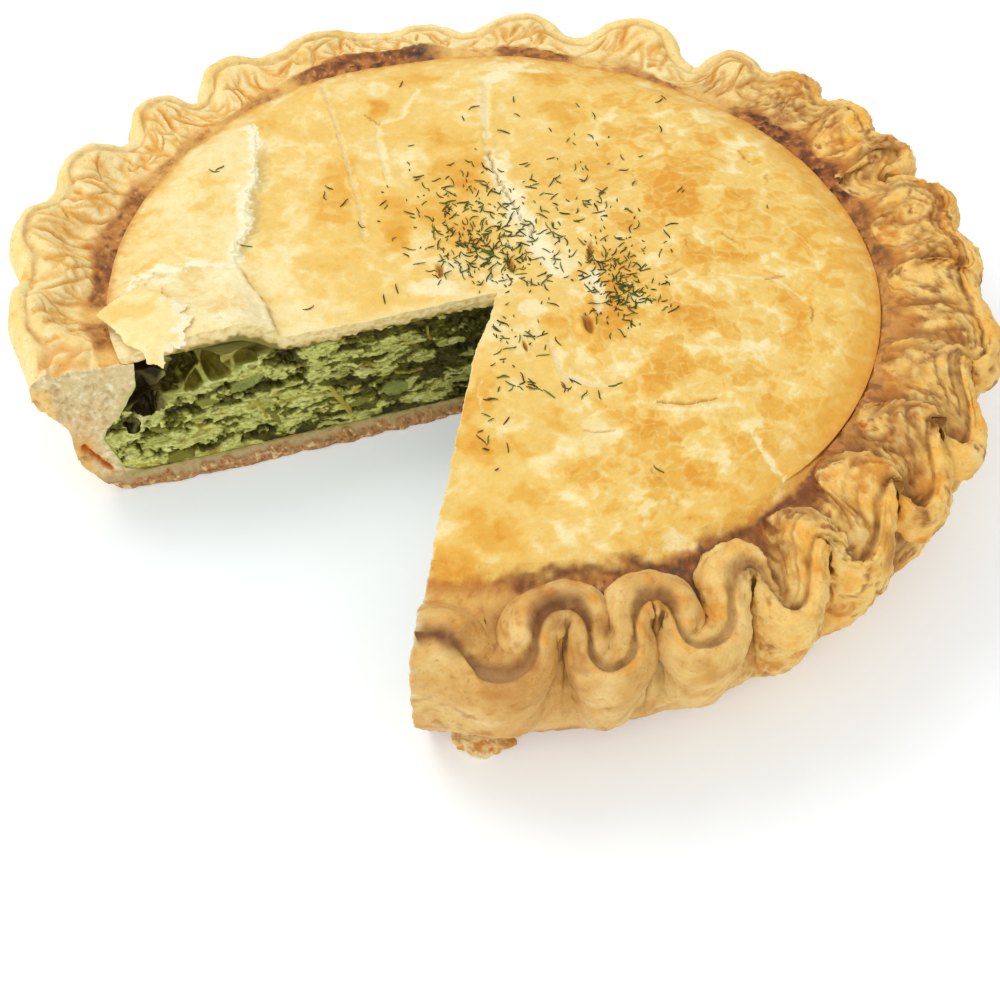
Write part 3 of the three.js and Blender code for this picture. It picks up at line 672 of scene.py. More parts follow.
    # Brown, crumbly right
    dark = paint(
        [0.96, 0.80, 0.45],
        ([0.80, 0.52, 0.18], smooth(blotch + 0.6 * fine - 0.3 * flakes, 0.05, 0.95) * 0.9),
        ([0.94, 0.68, 0.24], smooth(patch, 0.1, 0.7) * 0.6),
        ([0.94, 0.84, 0.58], smooth(0.7 * pores + 0.6 * flakes - 0.5 * patch, 0.2, 0.85) * 0.75),
        ([0.54, 0.31, 0.10], smooth(-patch - 0.6 * pores, 0.4, 1.0) * 0.7),
        # painted shade in the low parts of the lumps on the rim
        ([0.60, 0.35, 0.12], smooth(-lumps - 0.3 * fine, 0.25, 0.9) * on_rim * 0.5),
        ([0.55, 0.33, 0.12], wrinkle * 0.8),
        ([0.50, 0.30, 0.12], sheets * (0.65 + 0.4 * fine)),
        # painted highlight on the raised crests beside the wrinkles
        ([0.95, 0.86, 0.62], crest * smooth(pores, -0.3, 0.5) * 0.6),
        ([0.50, 0.31, 0.14], seam_band * on_rim * (0.65 + 0.4 * fine)),
    )
    # Tan front
    toasted = bump(np.abs(across) - 0.95, 0, 0.45) * on_top * smooth(patch + 0.5 * fine, -0.2, 0.6)
    # The seam band in front: the seam's own brown, with painted shade from the upper layer of the ribbon that
    # overhangs it, darkest at the pinches
    band = mix(np.array([0.44, 0.27, 0.13]), np.array([0.68, 0.53, 0.35]), smooth(lobe, 0.2, 0.9)[..., None])
    tan = paint(
        [0.89, 0.74, 0.45],
        ([0.79, 0.58, 0.28], 0.4 + 0.6 * blotch + 0.4 * fine),
        ([0.90, 0.61, 0.19], toasted * 0.75),
        ([0.94, 0.85, 0.61], smooth(-blotch + 0.6 * fine, 0.15, 0.9) * 0.6),
        ([0.66, 0.43, 0.19], smooth(-pores + 0.4 * patch, 0.6, 1.2) * 0.5),
        (band, seam_band * on_rim * (0.85 + 0.3 * fine)),
        ([0.88, 0.72, 0.43], wall * 0.35),
        ([0.90, 0.80, 0.58], wall * smooth(patch - 0.5 * fine, 0.1, 0.9) * 0.5),
        ([0.62, 0.40, 0.18], smooth(0.6 * fine - knobs, 0.35, 1.0) * 0.45),
        ([0.74, 0.46, 0.16], (1 - smooth(z + 1.5 * fine, 2, 8)) * 0.7),
    )
    color = mix(pale, dark, rough_side[..., None])
    color = mix(color, tan, (front * (1 - rough_side))[..., None])

    # Painted shade in the creases, then the wall's foot and the browned way down to the trench
    near = smooth(place + 0.25 * dents + 0.3 * (lobe - 0.5) * (1 - looped), 11.1, 11.8)
    between = smooth(place + 0.3 * dents + 0.2 * pores, 10.7, 11.3) * smooth(lobe + 0.2 * fine, 0.55, 0.78)
    between = between * front * smooth(azimuth, -93, -86)
    color = paint(
        color,
        # the creases darkened with painted shade, as in deep folds
        ([0.44, 0.26, 0.09], crease * (0.75 + 0.3 * fine)),
        ([0.70, 0.46, 0.19], (1 - smooth(z, 0.5, 5)) * (place < 3) * (0.5 + 0.5 * fine)),
        ([0.93, 0.79, 0.48], wall * quiet * 0.35),
        ([0.86, 0.66, 0.33], wall * quiet * smooth(0.7 * blotch + 0.5 * patch - z / 60, -0.1, 0.7) * 0.5),
        ([0.80, 0.60, 0.31], (place < 0.5) * (0.7 + 0.3 * fine)),
        ([0.76, 0.48, 0.18], near * (0.25 + 0.6 * arcs + 0.25 * rough_side) * (0.8 + 0.4 * pores)),
        ([0.50, 0.29, 0.12], between * (0.75 + 0.4 * fine)),
    )
    # The trench, dark and granular or light
    granular = paint(
        [0.70, 0.44, 0.19],
        ([0.46, 0.25, 0.10], smooth(fine + 0.4 * arcs, 0.0, 0.9)),
        ([0.86, 0.65, 0.38], smooth(pores - 0.2 * arcs, 0.15, 0.8) * 0.85),
        ([0.24, 0.13, 0.07], smooth(crumbs + 0.45 * arcs, 0.7, 1.3) * 0.8),
    )
    light = paint(
        [0.91, 0.74, 0.41],
        ([0.80, 0.55, 0.24], smooth(fine + 0.5 * pores, 0.1, 0.9)),
        ([0.95, 0.88, 0.66], smooth(crumbs, 0.5, 1.0) * puffed * 0.8),
    )
    color = mix(color, mix(light, granular, arcs[..., None]),
                (trench * (1 - apron) * (0.8 + 0.2 * arcs))[..., None])
    stain = apron * smooth(patch + 0.5 * fine, 0.0, 0.35) * (1 - smooth(place, 12.2, 12.9))
    color = mix(color, paint(lid_color(x, y), ([0.80, 0.50, 0.15], 0.75 * stain)), apron[..., None])
    # Seared and burnt spots
    seared_at = 12.05 + 0.3 * dents + 0.35 * noise(azimuth / 6, 2.0, seed=35)
    seared = bump(place, seared_at, 0.30) * smooth(azimuth, -94, -84)
    seared = seared * (1 - smooth(azimuth, -46, -36)) * (0.75 + 0.35 * fine)
    burnt = bump(azimuth, 103, 1.8) * smooth(place, 10.6, 11.2)
    color = paint(
        color,
        ([0.47, 0.26, 0.11], seared),
        ([0.27, 0.22, 0.19], seared * smooth(pores + 0.8 * bump(azimuth, -67, 7), 0.5, 1.1) * 0.8),
        ([0.16, 0.14, 0.14], burnt * (0.6 + 0.5 * fine)),
    )
    return rings, color


def grid_normals(rings):
    """The outward direction at each point of a grid of rings."""
    across = np.roll(rings, -1, 1) - np.roll(rings, 1, 1)
    up = np.gradient(rings, axis=0)
    normal = np.cross(across, up)
    return normal / np.maximum(np.linalg.norm(normal, axis=-1, keepdims=True), 1e-9)


def cavity_rings(gap, top):
    """The room inside the shell, smaller by a gap all round, with these radii and heights on top."""
    azimuth = np.arange(0, 360, 3.0)
    out = 8 * slump(azimuth)
    one = np.ones(len(azimuth))
    profile = [
        (60 * one, FLOOR_THICKNESS + gap), (97 + out - gap, FLOOR_THICKNESS + gap),
        (102 + out - gap, FLOOR_THICKNESS + 2.2 + gap), (104.3 + out - gap, 14.5), (106 + out - gap, 19.5),
        (104.5 + out - gap, 23), (101.5 + 0.8 * out - gap, 25.6), (99 + 0.4 * out - gap, 30.5),
        ((96.5 - gap) * one, 35), *[(radius * one, z) for radius, z in top],
    ]
    return np.array([
        np.c_[polar(azimuth, radius), np.broadcast_to(z, len(azimuth))] for radius, z in profile
    ])


def right_bulge(along, z, side):
    """How far the right-hand cut stands out into the gap, where the photo's edge bows that way."""
    return 2.2 * side * smooth(along, 5, 26) * (0.45 + 0.55 * smooth(z, 2, 9))


def shell_relief(along, z, side):
    """How far the cut pastry is torn back from the plane of the cut."""
    far = 37.0 * side  # so that the two sides differ
    fine = 0.20 * noise(along / 1.3 + far, z / 1.1, seed=3, octaves=2)
    wall = smooth(along, 97, 101) * smooth(z, 5, 8)
    crumb = wall * (1 - 0.5 * side) * (0.55 * noise(along / 2.4 + far, z / 2.0, seed=4, octaves=3)
                    + 0.6 * smooth(noise(along / 1.5 + far, z / 1.2, seed=2, octaves=2), 0.45, 0.9))
    shreds = bump(z, 33, 8) * smooth(along, 98, 103)
    torn = shreds * (1 - 0.6 * side) * np.maximum(noise(along / 1.6 + far, z / 2.2, seed=5, octaves=2), -0.1)
    base = 1 - smooth(z, 5.5, 8)
    lines = noise(along / 1.5 + far, z / 0.9, seed=7, octaves=3)
    layers = base * (0.45 * bump(z, 3.4 + 0.9 * noise(along / 4, far, seed=6, octaves=2), 0.55)
                     * smooth(noise(along / 5, 4.0 + far, seed=1), -0.4, 0.3)
                     - 0.24 * bump(z, 1.4, 1.1) * (1 + 1.2 * lines))
    ledge = (1 - side) * (1 - smooth(z, 2.5, 4.5)) * smooth(along, 8, 22) * (1 - smooth(along, 84, 98))
    ledge = ledge * (1 + 0.5 * noise(along / 3.4, 0.0, seed=9, octaves=3))
    split = to_line(along, z, TORN_SPLIT)[0]
    gap = (1 - side) * 1.6 * bump(split, 0, 0.55 + 0.2 * noise(along, z, seed=8))
    return fine + crumb + torn + layers + gap - ledge - right_bulge(along, z, side)


def build_shell():
    """The shell, hollowed out and with its slice cut away."""
    rings, facts = shell_rings()
    rings, color = shell_surface(rings, facts)
    body = closed_rings("shell", rings)
    body = cut_away(body, closed_rings("cavity", cavity_rings(0, [(95, 60), (60, 60)])))
    body = cut_away(body, slice_wedge(shell_relief))
    points = vertices_of(body)
    body_colors = carry(points, rings.reshape(-1, 3), color.reshape(-1, 3))
    is_cut, side, along = on_cut(points, shell_relief)
    cut_colors = cut_pastry_color(points, along, side)
    set_colors(body, np.where(is_cut[:, None], cut_colors, body_colors))
    shade(body, 50)
    return body


def carry(points, known, values):
    """Each point takes the values of the nearest known point."""
    tree = KDTree(len(known))
    for index, place in enumerate(known.tolist()):
        tree.insert(place, index)
    tree.balance()
    nearest = np.fromiter((tree.find(p)[1] for p in points.tolist()), np.int64, len(points))
    return values[nearest]


WALL_EDGE = np.array([  # height and how far along the filling ends there
    (6, 98.5), (14.5, 101.8), (19.5, 103.5), (23, 102), (25.6, 99), (30.5, 96.5), (35, 94), (41.4, 91.5),
])


def cut_pastry_color(points, along, side):
    """Colours of the torn pastry at each point, from the crumbly floor crust up the wall to the rim."""
    z = points[:, 2]

    def speckle(wide, tall, seed, octaves=2):
        return noise(along / wide, z / tall, side * 9.0, seed=seed, octaves=octaves)

    fine = speckle(0.9, 0.9, 31)
    blotch = speckle(4, 4, 32)
    speckled = speckle(1.7, 1.5, 33, 3)
    wall_edge = np.interp(z, *WALL_EDGE.T)
    near_filling = (1 - smooth(along - wall_edge + 0.4 * fine + 0.5 * speckled, 0.1, 1.9)) * smooth(z, 6.5, 9)
    olive = smooth(z + 0.9 * speckled + 0.3 * fine, 4.8, 5.5) * (1 - smooth(z, 6.2, 7.4))
    olive = olive * (1 - smooth(along, 98, 101))
    color = paint(
        [0.875, 0.80, 0.605],
        ([0.96, 0.93, 0.80], smooth(fine + 0.6 * speckled, 0.0, 1.2)),
        ([0.90, 0.75, 0.54], smooth(blotch, 0.1, 0.9) * 0.5),
        ([0.68, 0.55, 0.34], smooth(-speckled - 0.3 * fine, 0.45, 1.0) * 0.4),
        ([0.74, 0.77, 0.47], 0.85 * near_filling),
        ([0.725, 0.635, 0.45], (1 - smooth(z + 0.5 * speckled, 5, 8)) * 0.85),
        ([0.60, 0.60, 0.31], olive * 0.75),
    )
    line = 3.1 + 1.3 * noise(along / 3.2, 2.0, side * 9.0, seed=34, octaves=3)
    crumb = paint(
        [0.72, 0.54, 0.34],
        ([0.54, 0.35, 0.18], smooth(speckle(0.7, 0.6, 36), 0.0, 0.8)),
        ([0.92, 0.81, 0.58], smooth(-fine + 0.5 * speckled, 0.2, 0.9)),
    )
    color = mix(color, crumb, (1 - smooth(z, line - 0.4, line + 0.6))[:, None])
    skin = smooth(np.hypot(points[:, 0], points[:, 1]) + blotch + 0.8 * speckled, 108, 111.5)
    skin = skin * (1 - smooth(z, 18, 25))
    outer_lip = (side == 0) * smooth(along + 0.8 * speckled, 113, 115.5)
    outer_lip = outer_lip * (1 - smooth(z, 39, 42)) * smooth(z, 24, 28)
    split = to_line(along, z, TORN_SPLIT)[0]
    pits = speckle(2.1, 1.8, 38)
    color = paint(
        color,
        ([0.55, 0.38, 0.22], bump(z, line + 0.4, 0.35) * smooth(speckled, -0.4, 0.4) * 0.7),
        ([0.90, 0.70, 0.38], 0.8 * skin),
        ([0.94, 0.80, 0.50], outer_lip),
        ([0.80, 0.44, 0.12], (side == 0) * bump(split + 0.3 * fine, 0, 0.7)),
        ([0.72, 0.58, 0.38], smooth(pits, 0.55, 0.95) * smooth(along, 97, 99) * 0.45),
    )
    return color


# ---- Filling ----

# The pale lip of the hollow at the left cut
LIP = [
    (62, 35.5), (66, 34.5), (70, 31.5), (75, 29.5), (79, 28), (83, 29.5), (85, 29), (88, 26.5), (90.5, 22),
    (93, 24), (95, 20), (98, 18), (101, 17),
]
GAPS = [  # Dark gaps between the layers at the left cut: the line, and half its height
    ([(92, 20.5), (87, 22.5), (82, 23.0), (78, 21.5), (73, 21.5)], 1.0),
    ([(85, 17.5), (80, 18.8), (77, 17.5), (74, 19), (72, 21.5)], 0.9),
    ([(71, 25.0), (67, 23.0), (63, 20.5), (60, 18)], 0.9),
    ([(58, 32), (54, 30.5), (50, 27), (46, 27)], 0.7),
    ([(38, 16.5), (34, 17.5), (31, 15)], 0.9),
    ([(62, 35.6), (52, 36.0), (40, 35.8), (24, 36.2), (8, 35.8)], 0.8),
    ([(101.5, 21), (100, 18)], 1.2),
    ([(70, 36), (66, 38)], 1.2),
    ([(84, 10), (79, 8), (74, 9)], 0.6),
    ([(60, 26), (56, 23), (52, 22)], 0.6),
]
CHEESE = [  # Pale masses at the left cut: middle, half sizes and tilt
    (88, 13.5, 6, 2.8, -4), (80, 12.5, 7, 3.2, -14), (73, 7.0, 4.5, 2.0, -30), (68, 5.5, 4, 1.5, 0),
    (47, 33, 5.5, 2.3, 0), (48, 25, 4, 2.6, 20), (51, 17.5, 6, 3, -15), (60, 29, 5, 1.8, 30),
    (20, 23, 3.5, 2.0, 0), (21, 8.5, 6.5, 1.8, 5), (30, 28, 6, 1.3, 0), (36, 22, 3, 2, 30),
    (12, 26, 4, 1.2, 0), (98, 10, 2.2, 5, 10), (66, 14, 3.5, 2.6, -20), (57, 10, 3, 1.8, 20),
    (40, 29.5, 4, 1.2, 0), (10, 12, 4, 1.4, -10), (92, 7.5, 3, 1.3, 0),
]
PIECES = [  # Lens-shaped vegetable pieces at the left cut: middle, half sizes, tilt and greyness
    (85.5, 7.2, 3.8, 1.7, -6, 0.1), (77, 23.6, 3.4, 1.2, 10, 0.5), (66.5, 27.2, 4.8, 2.0, -16, 0.9),
    (27.5, 14, 3.8, 2.8, 5, 0.8), (38, 11.5, 3.5, 1.2, -10, 0.3), (60, 13, 3.2, 0.9, 60, 0.2),
    (90, 17.5, 3, 1.0, 20, 0.3),
]
STALKS = [  # Yellowish stalks at the left cut: the line and half its width
    ([(45.5, 20), (43.6, 16.5), (41.6, 12.6), (40.2, 9)], 0.8),
    ([(65, 21), (63.2, 17.5), (62.4, 14)], 0.45), ([(18.7, 33.4), (18.4, 31), (17.6, 28.8)], 0.35),
    ([(28, 20), (24, 18.5), (20, 19)], 0.35),
]


def lens(along, z, middle, height, half, tall, tilt):
    """How far from the middle of a tilted ellipse each place is, 1 on its edge."""
    turn = math.radians(tilt)
    a, b = along - middle, z - height
    u, v = a * math.cos(turn) + b * math.sin(turn), b * math.cos(turn) - a * math.sin(turn)
    return np.hypot(u / half, v / tall)


def filling_fields(along, z, side):
    """What the cut filling is made of at each place: its relief, and masks for the colours."""
    left = 1.0 - side
    far = 61.0 * side
    bend = 1.5 * noise(along / 8 + far, z / 6, seed=41, octaves=2)
    warp_a = along + 1.3 * noise(along / 2.6, z / 2.0, seed=47, octaves=3)
    warp_z = z + bend + 0.7 * noise(along / 2.2, z / 1.6, seed=48, octaves=3)
    crumbly = smooth(along + 12 * noise(along / 9 + far, z / 6, seed=49), 40, 62)
    crumbly = np.clip(crumbly + 0.35 * smooth(noise(along / 11 + far, z / 5, seed=50), 0.2, 0.7), 0, 1)
    f1, s1, n1 = cells(warp_a / 4.6 + far, warp_z / 1.2, seed=141)
    f2, s2, n2 = cells(warp_a / 2.7 + far, warp_z / 1.7, seed=144)
    number = np.where(crumbly > 0.5, n2, n1)
    split = np.where(crumbly > 0.5, s2 - f2, s1 - f1)
    f3, s3, n3 = cells(warp_a / 1.9 + far, warp_z / 1.5, seed=147)
    curd = (1 - smooth(s3 - f3, 0.03, 0.26)) * crumbly
    chunks = noise((along + bend) / 3.6 + far, z / 2.3, seed=43, octaves=3)
    mass = noise(along / 8 + far, (z + bend) / 3.0, seed=44, octaves=2)
    ragged = noise(along / 1.5, z / 1.2, seed=45, octaves=2)
    grain = noise(along / 0.75, z / 0.7, seed=51, octaves=2)
    darker_right = smooth(along, 8, 34)
    darker_top = smooth(z, 29, 34) * (1 - smooth(along, 54, 66))
    tone = (0.62 * number + 0.36 * mass + 0.24 * chunks + 0.09 * darker_right - 0.30 * darker_top
            + 0.03 * crumbly)
    cheese = smooth(tone + 0.06 * ragged, mix(0.47, 0.45, crumbly), 0.56)
    for middle, height, half, tall, tilt in CHEESE:
        reach = lens(along, z, middle, height, half, tall, tilt) + 0.30 * ragged
        cheese = np.maximum(cheese, left * (1 - smooth(reach, 0.85, 1.12)))
    crevice = 1 - smooth(split, 0.02, mix(0.24, 0.18, crumbly))
    gap = smooth(chunks - 0.45 * mass + 0.35 * ragged, 0.34, 0.56) * 0.95
    gap = np.maximum(gap, smooth(number - 0.35 * chunks, 0.80, 0.92) * (1 - cheese) * 0.8)
    for line, half in GAPS:
        distance, where = to_line(along, z, line)
        width = half * (1 + 0.5 * chunks) * np.sin(np.pi * np.clip(where, 0.06, 0.94)) ** 0.5
        gap = np.maximum(gap, left * (1 - smooth(distance + 0.5 * ragged, 0.5 * width, 1.25 * width)))
    lip = left * (1 - smooth(to_line(along, z, LIP)[0] + 0.8 * ragged, 1.2, 2.8))
    piece, grey = np.zeros(np.shape(along)), np.zeros(np.shape(along))
    for middle, height, half, tall, tilt, greyness in PIECES:
        reach = lens(along + 0.4 * ragged, z, middle, height, half, tall, tilt)
        amount = left * (1 - smooth(reach, 0.88, 1.0))
        grey = np.where(amount > piece, greyness, grey)
        piece = np.maximum(piece, amount)
    stalk, core = np.zeros(np.shape(along)), np.zeros(np.shape(along))
    for line, half in STALKS:
        distance, where = to_line(along + 0.25 * ragged, z, line)
        stalk = np.maximum(stalk, left * (1 - smooth(distance, 0.7 * half, 1.2 * half))
                           * smooth(where, 0.0, 0.12))
        core = np.maximum(core, left * (1 - smooth(distance, 0.1 * half, 0.6 * half))
                          * smooth(where, 0.45, 0.8))
    solid = np.maximum(piece, stalk)
    cheese = np.maximum(cheese, 0.95 * lip) * (1 - solid)
    gap = gap * (1 - solid) * (1 - 0.85 * cheese)
    thin_layers = noise((along + bend) / 5.5 + far, z + 0.6 * bend + 0.3 * ragged, seed=46, octaves=2)
    lamina = 1 - smooth(np.abs(thin_layers), 0.02, 0.26)
    lamina = lamina * (1 - 0.75 * cheese) * (1 - solid)
    rough = 1 - 0.7 * cheese
    relief = (0.9 + 0.12 * lamina - mix(0.14, 0.34, crumbly) * cheese
              - mix(0.03, 0.12, crumbly) * (number - 0.5)
              + (0.30 * curd - 0.25 * (n3 - 0.5) * crumbly) * (1 - 0.7 * solid) * rough
              + mix(0.12, 0.2, crumbly) * crevice * rough * (1 - solid) + mix(0.5, 1.4, crumbly) * gap
              + mix(0.12, 0.26, crumbly) * chunks * rough - 0.2 * piece - 0.6 * stalk
              + (0.15 * ragged + 0.12 * grain) * (0.4 + 0.6 * rough))
    relief = mix(0.35 + 0.2 * ragged, relief, smooth(z + 0.5 * chunks, 5.8, 8.6))
    return relief - right_bulge(along, z, side), SimpleNamespace(
        cheese=cheese, gap=gap, piece=piece, grey=grey, stalk=stalk, core=core, crevice=crevice,
        chunks=chunks, mass=mass, ragged=ragged, grain=grain, tone=tone, lip=lip, lamina=lamina, curd=curd)


def filling_relief(along, z, side):
    """How far the cut filling stands back from the plane of the cut."""
    return filling_fields(along, z, side)[0]


def filling_color(along, z, side):
    """Colours of the cut filling at each place."""
    f = filling_fields(along, z, side)[1]
    f.loose = (1 - f.piece) * (1 - f.stalk)
    flecks = smooth(noise(along / 1.3, z / 0.6, side * 31.0, seed=148, octaves=2), 0.35, 0.75)
    speck = bump(np.hypot((along - 20.5) / 1.3, z - 37.4), 0, 0.8) * (side == 0)
    color = paint(
        [0.34, 0.33, 0.04],
        ([0.56, 0.56, 0.16], smooth(f.tone + 0.25 * f.ragged, 0.10, 0.46)),
        ([0.42, 0.48, 0.21], smooth(f.mass + 0.4 * f.ragged, 0.0, 0.8) * 0.6),
        ([0.24, 0.215, 0.01], smooth(-f.tone + 0.1 * f.grain, -0.12, 0.16) * 0.8),
        ([0.86, 0.88, 0.51], f.cheese * (0.92 + 0.08 * f.grain)),
        ([0.76, 0.78, 0.41], f.cheese * smooth(f.chunks - 0.3 * f.mass, -0.1, 0.7) * 0.7),
        ([0.92, 0.93, 0.69], f.cheese * smooth(f.ragged - f.chunks, 0.2, 1.0) * 0.7),
        ([0.36, 0.36, 0.07], f.curd * (0.6 - 0.5 * f.cheese) * f.loose),
        ([0.62, 0.53, 0.12], smooth(f.mass - f.chunks + 0.3 * f.ragged, 0.70, 1.1) * 0.6),
        ([0.22, 0.21, 0.0], f.crevice * (0.8 - 0.6 * f.cheese) * f.loose),
        ([0.24, 0.22, 0.02], f.lamina * 0.8),
        ([0.38, 0.37, 0.09], flecks * mix(0.7, 0.35, smooth(along, 55, 75)) * (1 - f.piece)),
        ([0.58, 0.63, 0.34], f.piece * f.grey * (0.9 + 0.15 * f.chunks)),
        ([0.48, 0.46, 0.15], f.piece * (1 - f.grey) * (0.9 + 0.15 * f.chunks)),
        ([0.70, 0.66, 0.25], f.stalk * 0.9),
        ([0.66, 0.42, 0.10], f.core * 0.7),
        ([0.17, 0.15, 0.0], f.gap * 0.92),
        ([0.88, 0.88, 0.62], f.lip * smooth(f.ragged, -0.5, 0.6) * 0.6),
        ([0.72, 0.30, 0.18], speck),
    )
    return color * (1 - 0.16 * (1 - smooth(along, 8, 34)) * (1 - 0.5 * f.cheese))[:, None]


def hollow_cells(along, z):
    """The bubbles in the hollow's back wall: 1 on the walls between them, and a number for each."""
    first, second, number = cells((along + 0.35 * z + 3.0) / 7.6, (z - 1.5) / 6.6, seed=60)
    fine_first, fine_second, _ = cells(along / 3.1, z / 3.4, seed=66)
    wall = 1 - smooth(second - first, 0.03, 0.30)
    small = (1 - smooth(fine_second - fine_first, 0.05, 0.3)) * (number > 0.55)
    return np.maximum(wall, 0.5 * small), number


HOLLOWS = [  # along, back, height, half sizes, tilt, as in the solids
    (80, -1, 38.5, (23, 11, 8.5), 17),
    (93, -1, 31, (7.5, 8, 8), 0),
    (98.8, 0, 21.5, (2.0, 4, 2.8), 0),
]


HOLLOW_COLUMNS, HOLLOW_ROWS = 320, 150


def hollow_mesh(along, back, height, sizes, tilt):
    """A hollow to cut from the filling: a tilted ball with bubbles in the wall at its back."""
    rise = np.linspace(-np.pi / 2, np.pi / 2, HOLLOW_ROWS + 2)[1:-1]
    ball = unit_ball(HOLLOW_COLUMNS, rise) * np.array(sizes)
    a = math.radians(tilt)
    u = ball[..., 0] * math.cos(a) + ball[..., 2] * math.sin(a)
    w = ball[..., 2] * math.cos(a) - ball[..., 0] * math.sin(a)
    wall, number = hollow_cells(along + u, height + w)
    deep = smooth(ball[..., 1], 0.8, 5)
    mouth = (1 - smooth(ball[..., 1], 2, 6)) * smooth(min(sizes), 2.2, 6)
    ridge = (wall * deep * 3.2 + 0.65 * noise((along + u) / 1.6, (height + w) / 1.6, seed=52, octaves=2)
             + 1.3 * mouth * noise((along + u) / 3.2, (height + w) / 3.2, seed=54, octaves=2)
             - 1.3 * deep * (number - 0.5))
    scale = 1 - np.minimum(ridge / np.linalg.norm(ball, axis=-1), 0.6)
    x, y = from_cut(along + u * scale, back + ball[..., 1] * scale)
    rings = np.stack([x, y, height + w * scale], -1)
    return closed_rings("hollow", rings, middles(rings))


def build_filling():
    """The filling, with its hollows and with its slice cut away."""
    top = LID_UNDERSIDE - CLEARANCE
    body = closed_rings("filling", cavity_rings(0.05, [(93, top), (60, top)]))
    for hollow in HOLLOWS:
        body = cut_away(body, hollow_mesh(*hollow))
    body = cut_away(body, slice_wedge(filling_relief, pitch=0.30, top=38.0, reach=110.0))
    points = vertices_of(body)
    is_cut, side, along = on_cut(points, filling_relief)
    x, y, z = points.T
    cut_along, back = to_cut(x, y)
    color = filling_color(along, z, side.astype(float))
    wall, number = hollow_cells(cut_along, z)
    fine = noise(cut_along / 1.8, z / 1.8, back / 1.8, seed=53, octaves=2)
    in_hollow = ~is_cut & (back > 0.4)
    inside_color = paint(
        [0.42, 0.38, 0.08],
        ([0.28, 0.25, 0.02], smooth(number + 0.3 * fine, 0.25, 0.75)),
        ([0.80, 0.78, 0.42], smooth(wall + 0.2 * fine, 0.35, 0.9)),
        # painted shade in the deep outer part of the hollow
        ([0.16, 0.13, 0.02], smooth(cut_along + 1.2 * fine, 86, 90.5) * (1 - 0.3 * wall) * 0.94),
        ([0.60, 0.62, 0.30], (1 - smooth(back, 0.4, 2.4)) * (1 - smooth(cut_along, 88, 92))),
    )
    set_colors(body, np.where(in_hollow[:, None], inside_color, color))
    shade(body, 60)
    return body


# ---- Lid ----

CRACKS = [  # line, half width, depth, how floury it is, how brown it is
    ([(-3.9, 83), (-3.6, 75.2), (-3.4, 61.4), (-2.2, 48)], 1.1, 0.25, 0.8, 0.15),
    ([(-3, 84), (3, 90), (9, 95)], 2.8, 0.1, 0.85, 0.0),
    ([(3, 90), (14, 89.5)], 1.8, 0.1, 0.8, 0.0),
    ([(-3.5, 84), (-4.5, 74), (-3.5, 66)], 2.4, 0.1, 0.6, 0.0),
    ([(-2.2, 48), (1.2, 35.8), (5.8, 24.4), (8.8, 17.8), (13.4, 5.2), (15.7, 0.9)], 2.5, 0.3, 1.0, 0.0),
    ([(-2.6, 51), (-1.6, 46), (0.8, 37), (4.2, 28.5)], 0.55, 0.8, 0.6, 0.6),
    ([(6.5, 22.5), (9.8, 15.5)], 0.6, 0.8, 0.6, 0.35),
    ([(4.2, 28), (6, 24)], 0.5, 0.6, 0.6, 0.3),
    ([(26, 1), (26.2, -4), (26.4, -7), (27, -15.4)], 1.4, 0.3, 0.9, 0.0),
    ([(-50.7, 84), (-50.7, 80.5), (-44.5, 57.8), (-39.7, 39), (-35.7, 21.1), (-34.5, 10.4)],
     0.7, 0.35, 0.65, 0.2),
    ([(-33.8, 60.9), (-32.5, 51.3), (-30.6, 41.9), (-29.5, 35.8)], 0.9, 0.3, 0.7, 0.0),
    ([(-33, 61.9), (-27.3, 64.9), (-25.3, 72.1), (-22.7, 78.9)], 0.8, 0.2, 0.7, 0.0),
    ([(-38.3, 66), (-33, 61.9)], 0.3, 0.35, 0.0, 0.8),
    ([(55.9, 1.6), (65.9, -0.5), (71.6, -0.7), (76.8, -5.2), (79, -8.7)], 0.5, 0.15, 0.6, 0.0),
    ([(61.6, -56.6), (64.8, -66.1), (68.5, -72.7)], 0.6, 0.4, 0.9, 0.0),
    ([(39.9, -46.9), (46.4, -47.8), (53.8, -45.9)], 0.5, 0.6, 0.0, 0.7),
    ([(39, -49.5), (47, -50.2), (58, -48.2)], 0.8, -0.4, 0.5, 0.0),
    ([(22, -57.2), (25.6, -57.8), (29.2, -57)], 0.4, 0.35, 0.0, 0.6),
    ([(13.9, -25.8), (16.4, -35.2), (18.3, -39.4), (26, -42), (29.7, -41.9)], 1.1, 0.3, 0.75, 0.15),
    ([(36.1, -68.7), (41.1, -75.9), (45.9, -84.2)], 0.35, 0.3, 0.0, 0.3),
    ([(67.2, 53.4), (68, 49.8), (69.5, 47.6)], 0.3, 0.35, 0.0, 0.8),
    ([(73.5, 42.8), (73.7, 38.9)], 0.25, 0.3, 0.0, 0.6),
    ([(59.6, 16.7), (63.1, 13.9)], 0.35, 0.35, 0.0, 0.6),
    ([(80.4, -10.2), (80.9, -13.5), (80.2, -17)], 0.35, 0.4, 0.0, 0.8),
    ([(43.9, 0.1), (46.5, 1.0), (48.8, 3)], 0.4, 0.35, 0.3, 0.5),
    ([(50.2, 14), (49.9, 9.9)], 0.25, 0.3, 0.0, 0.5),
    ([(37.3, 43.5), (37.9, 36.5)], 0.25, 0.25, 0.0, 0.5),
    ([(69.7, -0.7), (75.3, 1)], 0.4, 0.3, 0.0, 0.7),
    ([(-3, -41), (-3.5, -46.5), (-2.6, -52)], 0.35, 0.2, 0.5, 0.0),
]
VENTS = [  # x, y, turn, half length, half width, depth
    (23.6, -19.7, 100, 4.4, 1.5, 1.7), (-14.2, -0.7, 95, 3.2, 1.1, 1.3), (7.7, -28.6, 100, 2.4, 0.6, 0.9),
    (24.7, 8.8, 85, 4.4, 0.8, 0.8), (3.8, 3.6, 105, 4.0, 1.2, 1.2),
]

